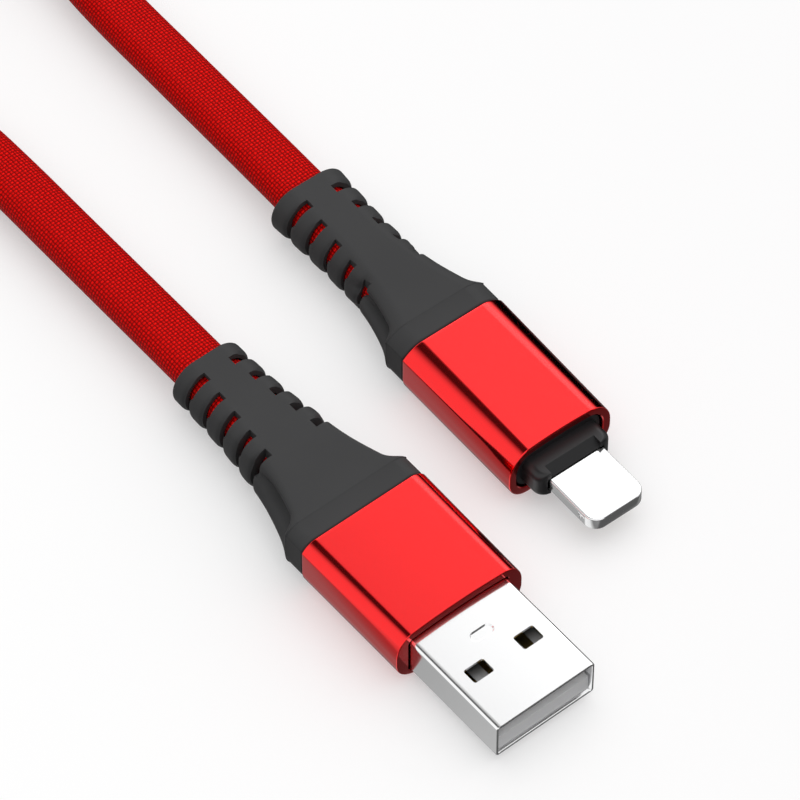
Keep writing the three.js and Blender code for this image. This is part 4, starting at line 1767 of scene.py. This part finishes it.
@dataclass
class Studio:
    """The camera, the pale floor and the soft light round the cable.

    The strips that gloss sees are given by pairs of an angle round the cable's direction, in
    degrees, and a brightness: `slanting` in directions that slant back along the cord, and
    `elsewhere` in the others. `ground` pairs a direction's x with a brightness.
    """

    tip: Vector
    lens: float = 252.0
    offset: tuple[float, float, float] = (222.0, -198.6, 434.5)
    right: tuple[float, float, float] = (0.6318, 0.7751, 0.0)
    up: tuple[float, float, float] = (-0.6143, 0.5008, 0.6097)
    brightest: float = 3.0
    slanting: Stops = (
        (-180, 0.9), (-150, 0.55), (-100, 0.4), (-80, 0.12), (-35, 0.1), (-20, 0.0), (14, 0.0),
        (30, 1.2), (38, 2.4), (57, 2.4), (61.5, 1.3), (65, 1.15), (68, 0.6), (72, 0.07),
        (97, 0.06), (106, 0.4), (117, 0.85), (128, 1.0), (180, 1.0),
    )
    elsewhere: Stops = (
        (-180, 0.55), (-110, 0.45), (-80, 0.2), (-20, 0.25), (0, 0.4), (40, 0.9), (90, 1.0),
        (150, 1.0), (180, 0.8),
    )
    ground: Stops = (
        (-1.0, 0.4), (-0.44, 0.33), (-0.36, 0.9), (0.05, 0.8), (0.35, 0.2), (1.0, 0.3),
    )

    def camera(self) -> None:
        """Stand the camera where the photograph was taken, looking along minus its own z."""
        right, up = Vector(self.right), Vector(self.up)
        back = right.cross(up)
        lens = bpy.data.cameras.new("camera")
        lens.lens = self.lens
        lens.sensor_width = 36.0
        lens.clip_start = 0.01
        lens.clip_end = 50.0
        camera = linked("camera", lens)
        spot = self.tip + Vector(self.offset) * MM
        rows = [[r, u, b, s] for r, u, b, s in zip(right, up, back, spot)]
        camera.matrix_world = Matrix([*rows, [0, 0, 0, 1]])
        bpy.context.scene.camera = camera

    def floor(self) -> None:
        """Lay the floor: near white to the camera with its shadow, and clear to gloss.

        Gloss sees the world's pale ground through it.
        """
        half = 3.0
        corners = [[-half, -half, 0.0], [half, -half, 0.0], [half, half, 0.0], [-half, half, 0.0]]
        mesh = bpy.data.meshes.new("floor")
        mesh.from_pydata(corners, [], [[0, 1, 2, 3]])
        material = bpy.data.materials.new("floor")
        material.use_nodes = True
        material.node_tree.nodes.clear()
        tree = Tree(material.node_tree)
        x, y, _ = tree.axes("Object")
        # painted light: a slight fall-off, the floor a little darker beyond a diagonal line
        across = tree.step(tree.math("ADD", y, tree.math("MULTIPLY", x, 0.55)), -0.07, 0.07)
        pale = tree.blend(across, colour(1.0, 1.0, 1.0), colour(0.975, 0.97, 0.972))
        path = tree.node("ShaderNodeLightPath")
        seen = path.outputs["Is Camera Ray"]
        matt = tree.blend(seen, colour(0.3, 0.3, 0.3), pale)
        diffuse = tree.fed(tree.node("ShaderNodeBsdfDiffuse"), matt).outputs[0]
        glow = tree.fed(tree.node("ShaderNodeEmission"), pale).outputs[0]
        solid = tree.layer(tree.math("MULTIPLY", seen, 0.4), diffuse, glow)
        clear = tree.node("ShaderNodeBsdfTransparent").outputs[0]
        whole = tree.layer(path.outputs["Is Glossy Ray"], solid, clear)
        tree.fed(tree.node("ShaderNodeOutputMaterial"), whole)
        mesh.materials.append(material)
        linked("floor", mesh)

    def world(self) -> None:
        """Light the room: white to the camera, even and soft to matt surfaces, strips to gloss.

        Matt surfaces see 0.15 + 1.4 z^2 + 0.7 y, with y not below 0.
        """
        world = bpy.data.worlds.new("studio")
        bpy.context.scene.world = world
        world.use_nodes = True
        world.cycles.sampling_method = "NONE"
        world.node_tree.nodes.clear()
        tree = Tree(world.node_tree)
        x, y, z = tree.axes("Generated")
        path = tree.node("ShaderNodeLightPath")
        overhead = tree.math("MULTIPLY_ADD", tree.math("MULTIPLY", z, z), 1.4, 0.15)
        soft = tree.math("MULTIPLY_ADD", tree.math("MAXIMUM", y, 0.0), 0.7, overhead)
        level = tree.blend(path.outputs["Is Glossy Ray"], soft, self.strips(tree, x, y, z))
        level = tree.blend(path.outputs["Is Camera Ray"], level, colour(1.0, 1.0, 1.0))
        background = tree.fed(tree.node("ShaderNodeBackground"), level)
        tree.fed(tree.node("ShaderNodeOutputWorld"), background.outputs[0])

    def strips(self, tree: Tree, x: Socket, y: Socket, z: Socket) -> Socket:
        """Work out the brightness that gloss sees in the direction x, y, z.

        Long strips run beside the cable: their brightness is a function of the angle
        f = atan2(z, y), one in directions that slant back along the cord, with x between
        -0.7 and -0.3, and an evener one in the others. A dark panel stands ahead, and the
        ground below on the near side has its own brightness along x.

        Args:
            tree: the world's nodes.
            x: along the cable.
            y: across it.
            z: upwards.

        Returns:
            The brightness as a grey.
        """
        turn = tree.math("MULTIPLY_ADD", tree.math("ARCTAN2", z, y), 1 / (2 * np.pi), 0.5)
        slanting, elsewhere = (
            tree.ramp(turn, [(f / 360.0 + 0.5, v / self.brightest) for f, v in stops])
            for stops in (self.slanting, self.elsewhere)
        )
        window = tree.math("MULTIPLY", tree.step(x, -0.85, -0.7), tree.step(x, -0.15, -0.3))
        gloss = tree.blend(window, elsewhere, slanting)
        panel = tree.math("MULTIPLY", tree.step(y, 0.2, 0.3), tree.step(y, 0.58, 0.46))
        panel = tree.math("MAXIMUM", panel, tree.step(z, 0.3, 0.05))
        ahead = tree.math("MULTIPLY", tree.step(x, 0.2, 0.38), panel)
        gloss = tree.blend(ahead, gloss, colour(0.03, 0.03, 0.03))
        along = tree.math("MULTIPLY_ADD", x, 0.5, 0.5)
        ground = tree.ramp(along, [((v + 1) / 2, s / self.brightest) for v, s in self.ground])
        below = tree.math("MULTIPLY", tree.step(z, -0.25, -0.45), tree.step(y, -0.05, -0.25))
        gloss = tree.blend(below, gloss, ground)
        scaled = tree.node("ShaderNodeVectorMath", operation="SCALE")
        tree.join(gloss, scaled.inputs[0])
        tree.join(self.brightest, scaled.inputs["Scale"])
        return scaled.outputs[0]

    def build(self) -> None:
        """Set up the view, camera, floor and light."""
        bpy.context.scene.view_settings.view_transform = "Standard"
        self.camera()
        self.floor()
        self.world()


# ---------------------------------------------------------------- the whole cable


def main() -> None:
    """Load the solids, build the studio, the cord, its straps and both plugs in turn."""
    logging.basicConfig(level=logging.INFO, format="%(message)s")
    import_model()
    low, high = (Vector(c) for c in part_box("charger_shield"))
    tip = Vector((high.x, (low.y + high.y) / 2, (low.z + high.z) / 2))
    x, y, z = tip.x / MM - ChargerPlug.reach, tip.y / MM, tip.z / MM
    room = Placement((x, y, 0.0))
    charger = Placement((x, y, z))
    spot = (x - PHONE_SETBACK, y + PLUG_SPACING, z + PHONE_RAISE)
    phone = Placement(spot, np.radians(PHONE_TURN))
    Studio(tip).build()
    hank = Hank()
    cord = Cord(room, charger, phone, hank)
    made = cord.build()
    sides = {"cord_tie_left": -1, "cord_tie_right": 1}
    straps = [Strap(node, side, room, hank).build() for node, side in sides.items()]
    cord.declare()
    ChargerPlug(
        charger,
        sleeve=Outline(15.1, 6.72, 1.75, 1.0, 2.7, 2.7, turn=60.0),
        mouth=Outline(15.4, 6.72, 1.9, 2.7, 3.4, 3.3),
    ).build()
    PhonePlug(
        phone,
        sleeve=Outline(12.4, 6.8, 2.6, 1.3, 2.6, 2.6, turn=42.0),
        mouth=Outline(12.6, 6.72, 2.5, 3.0, 2.8, 3.0),
    ).build()


if __name__ == "__main__":
    main()
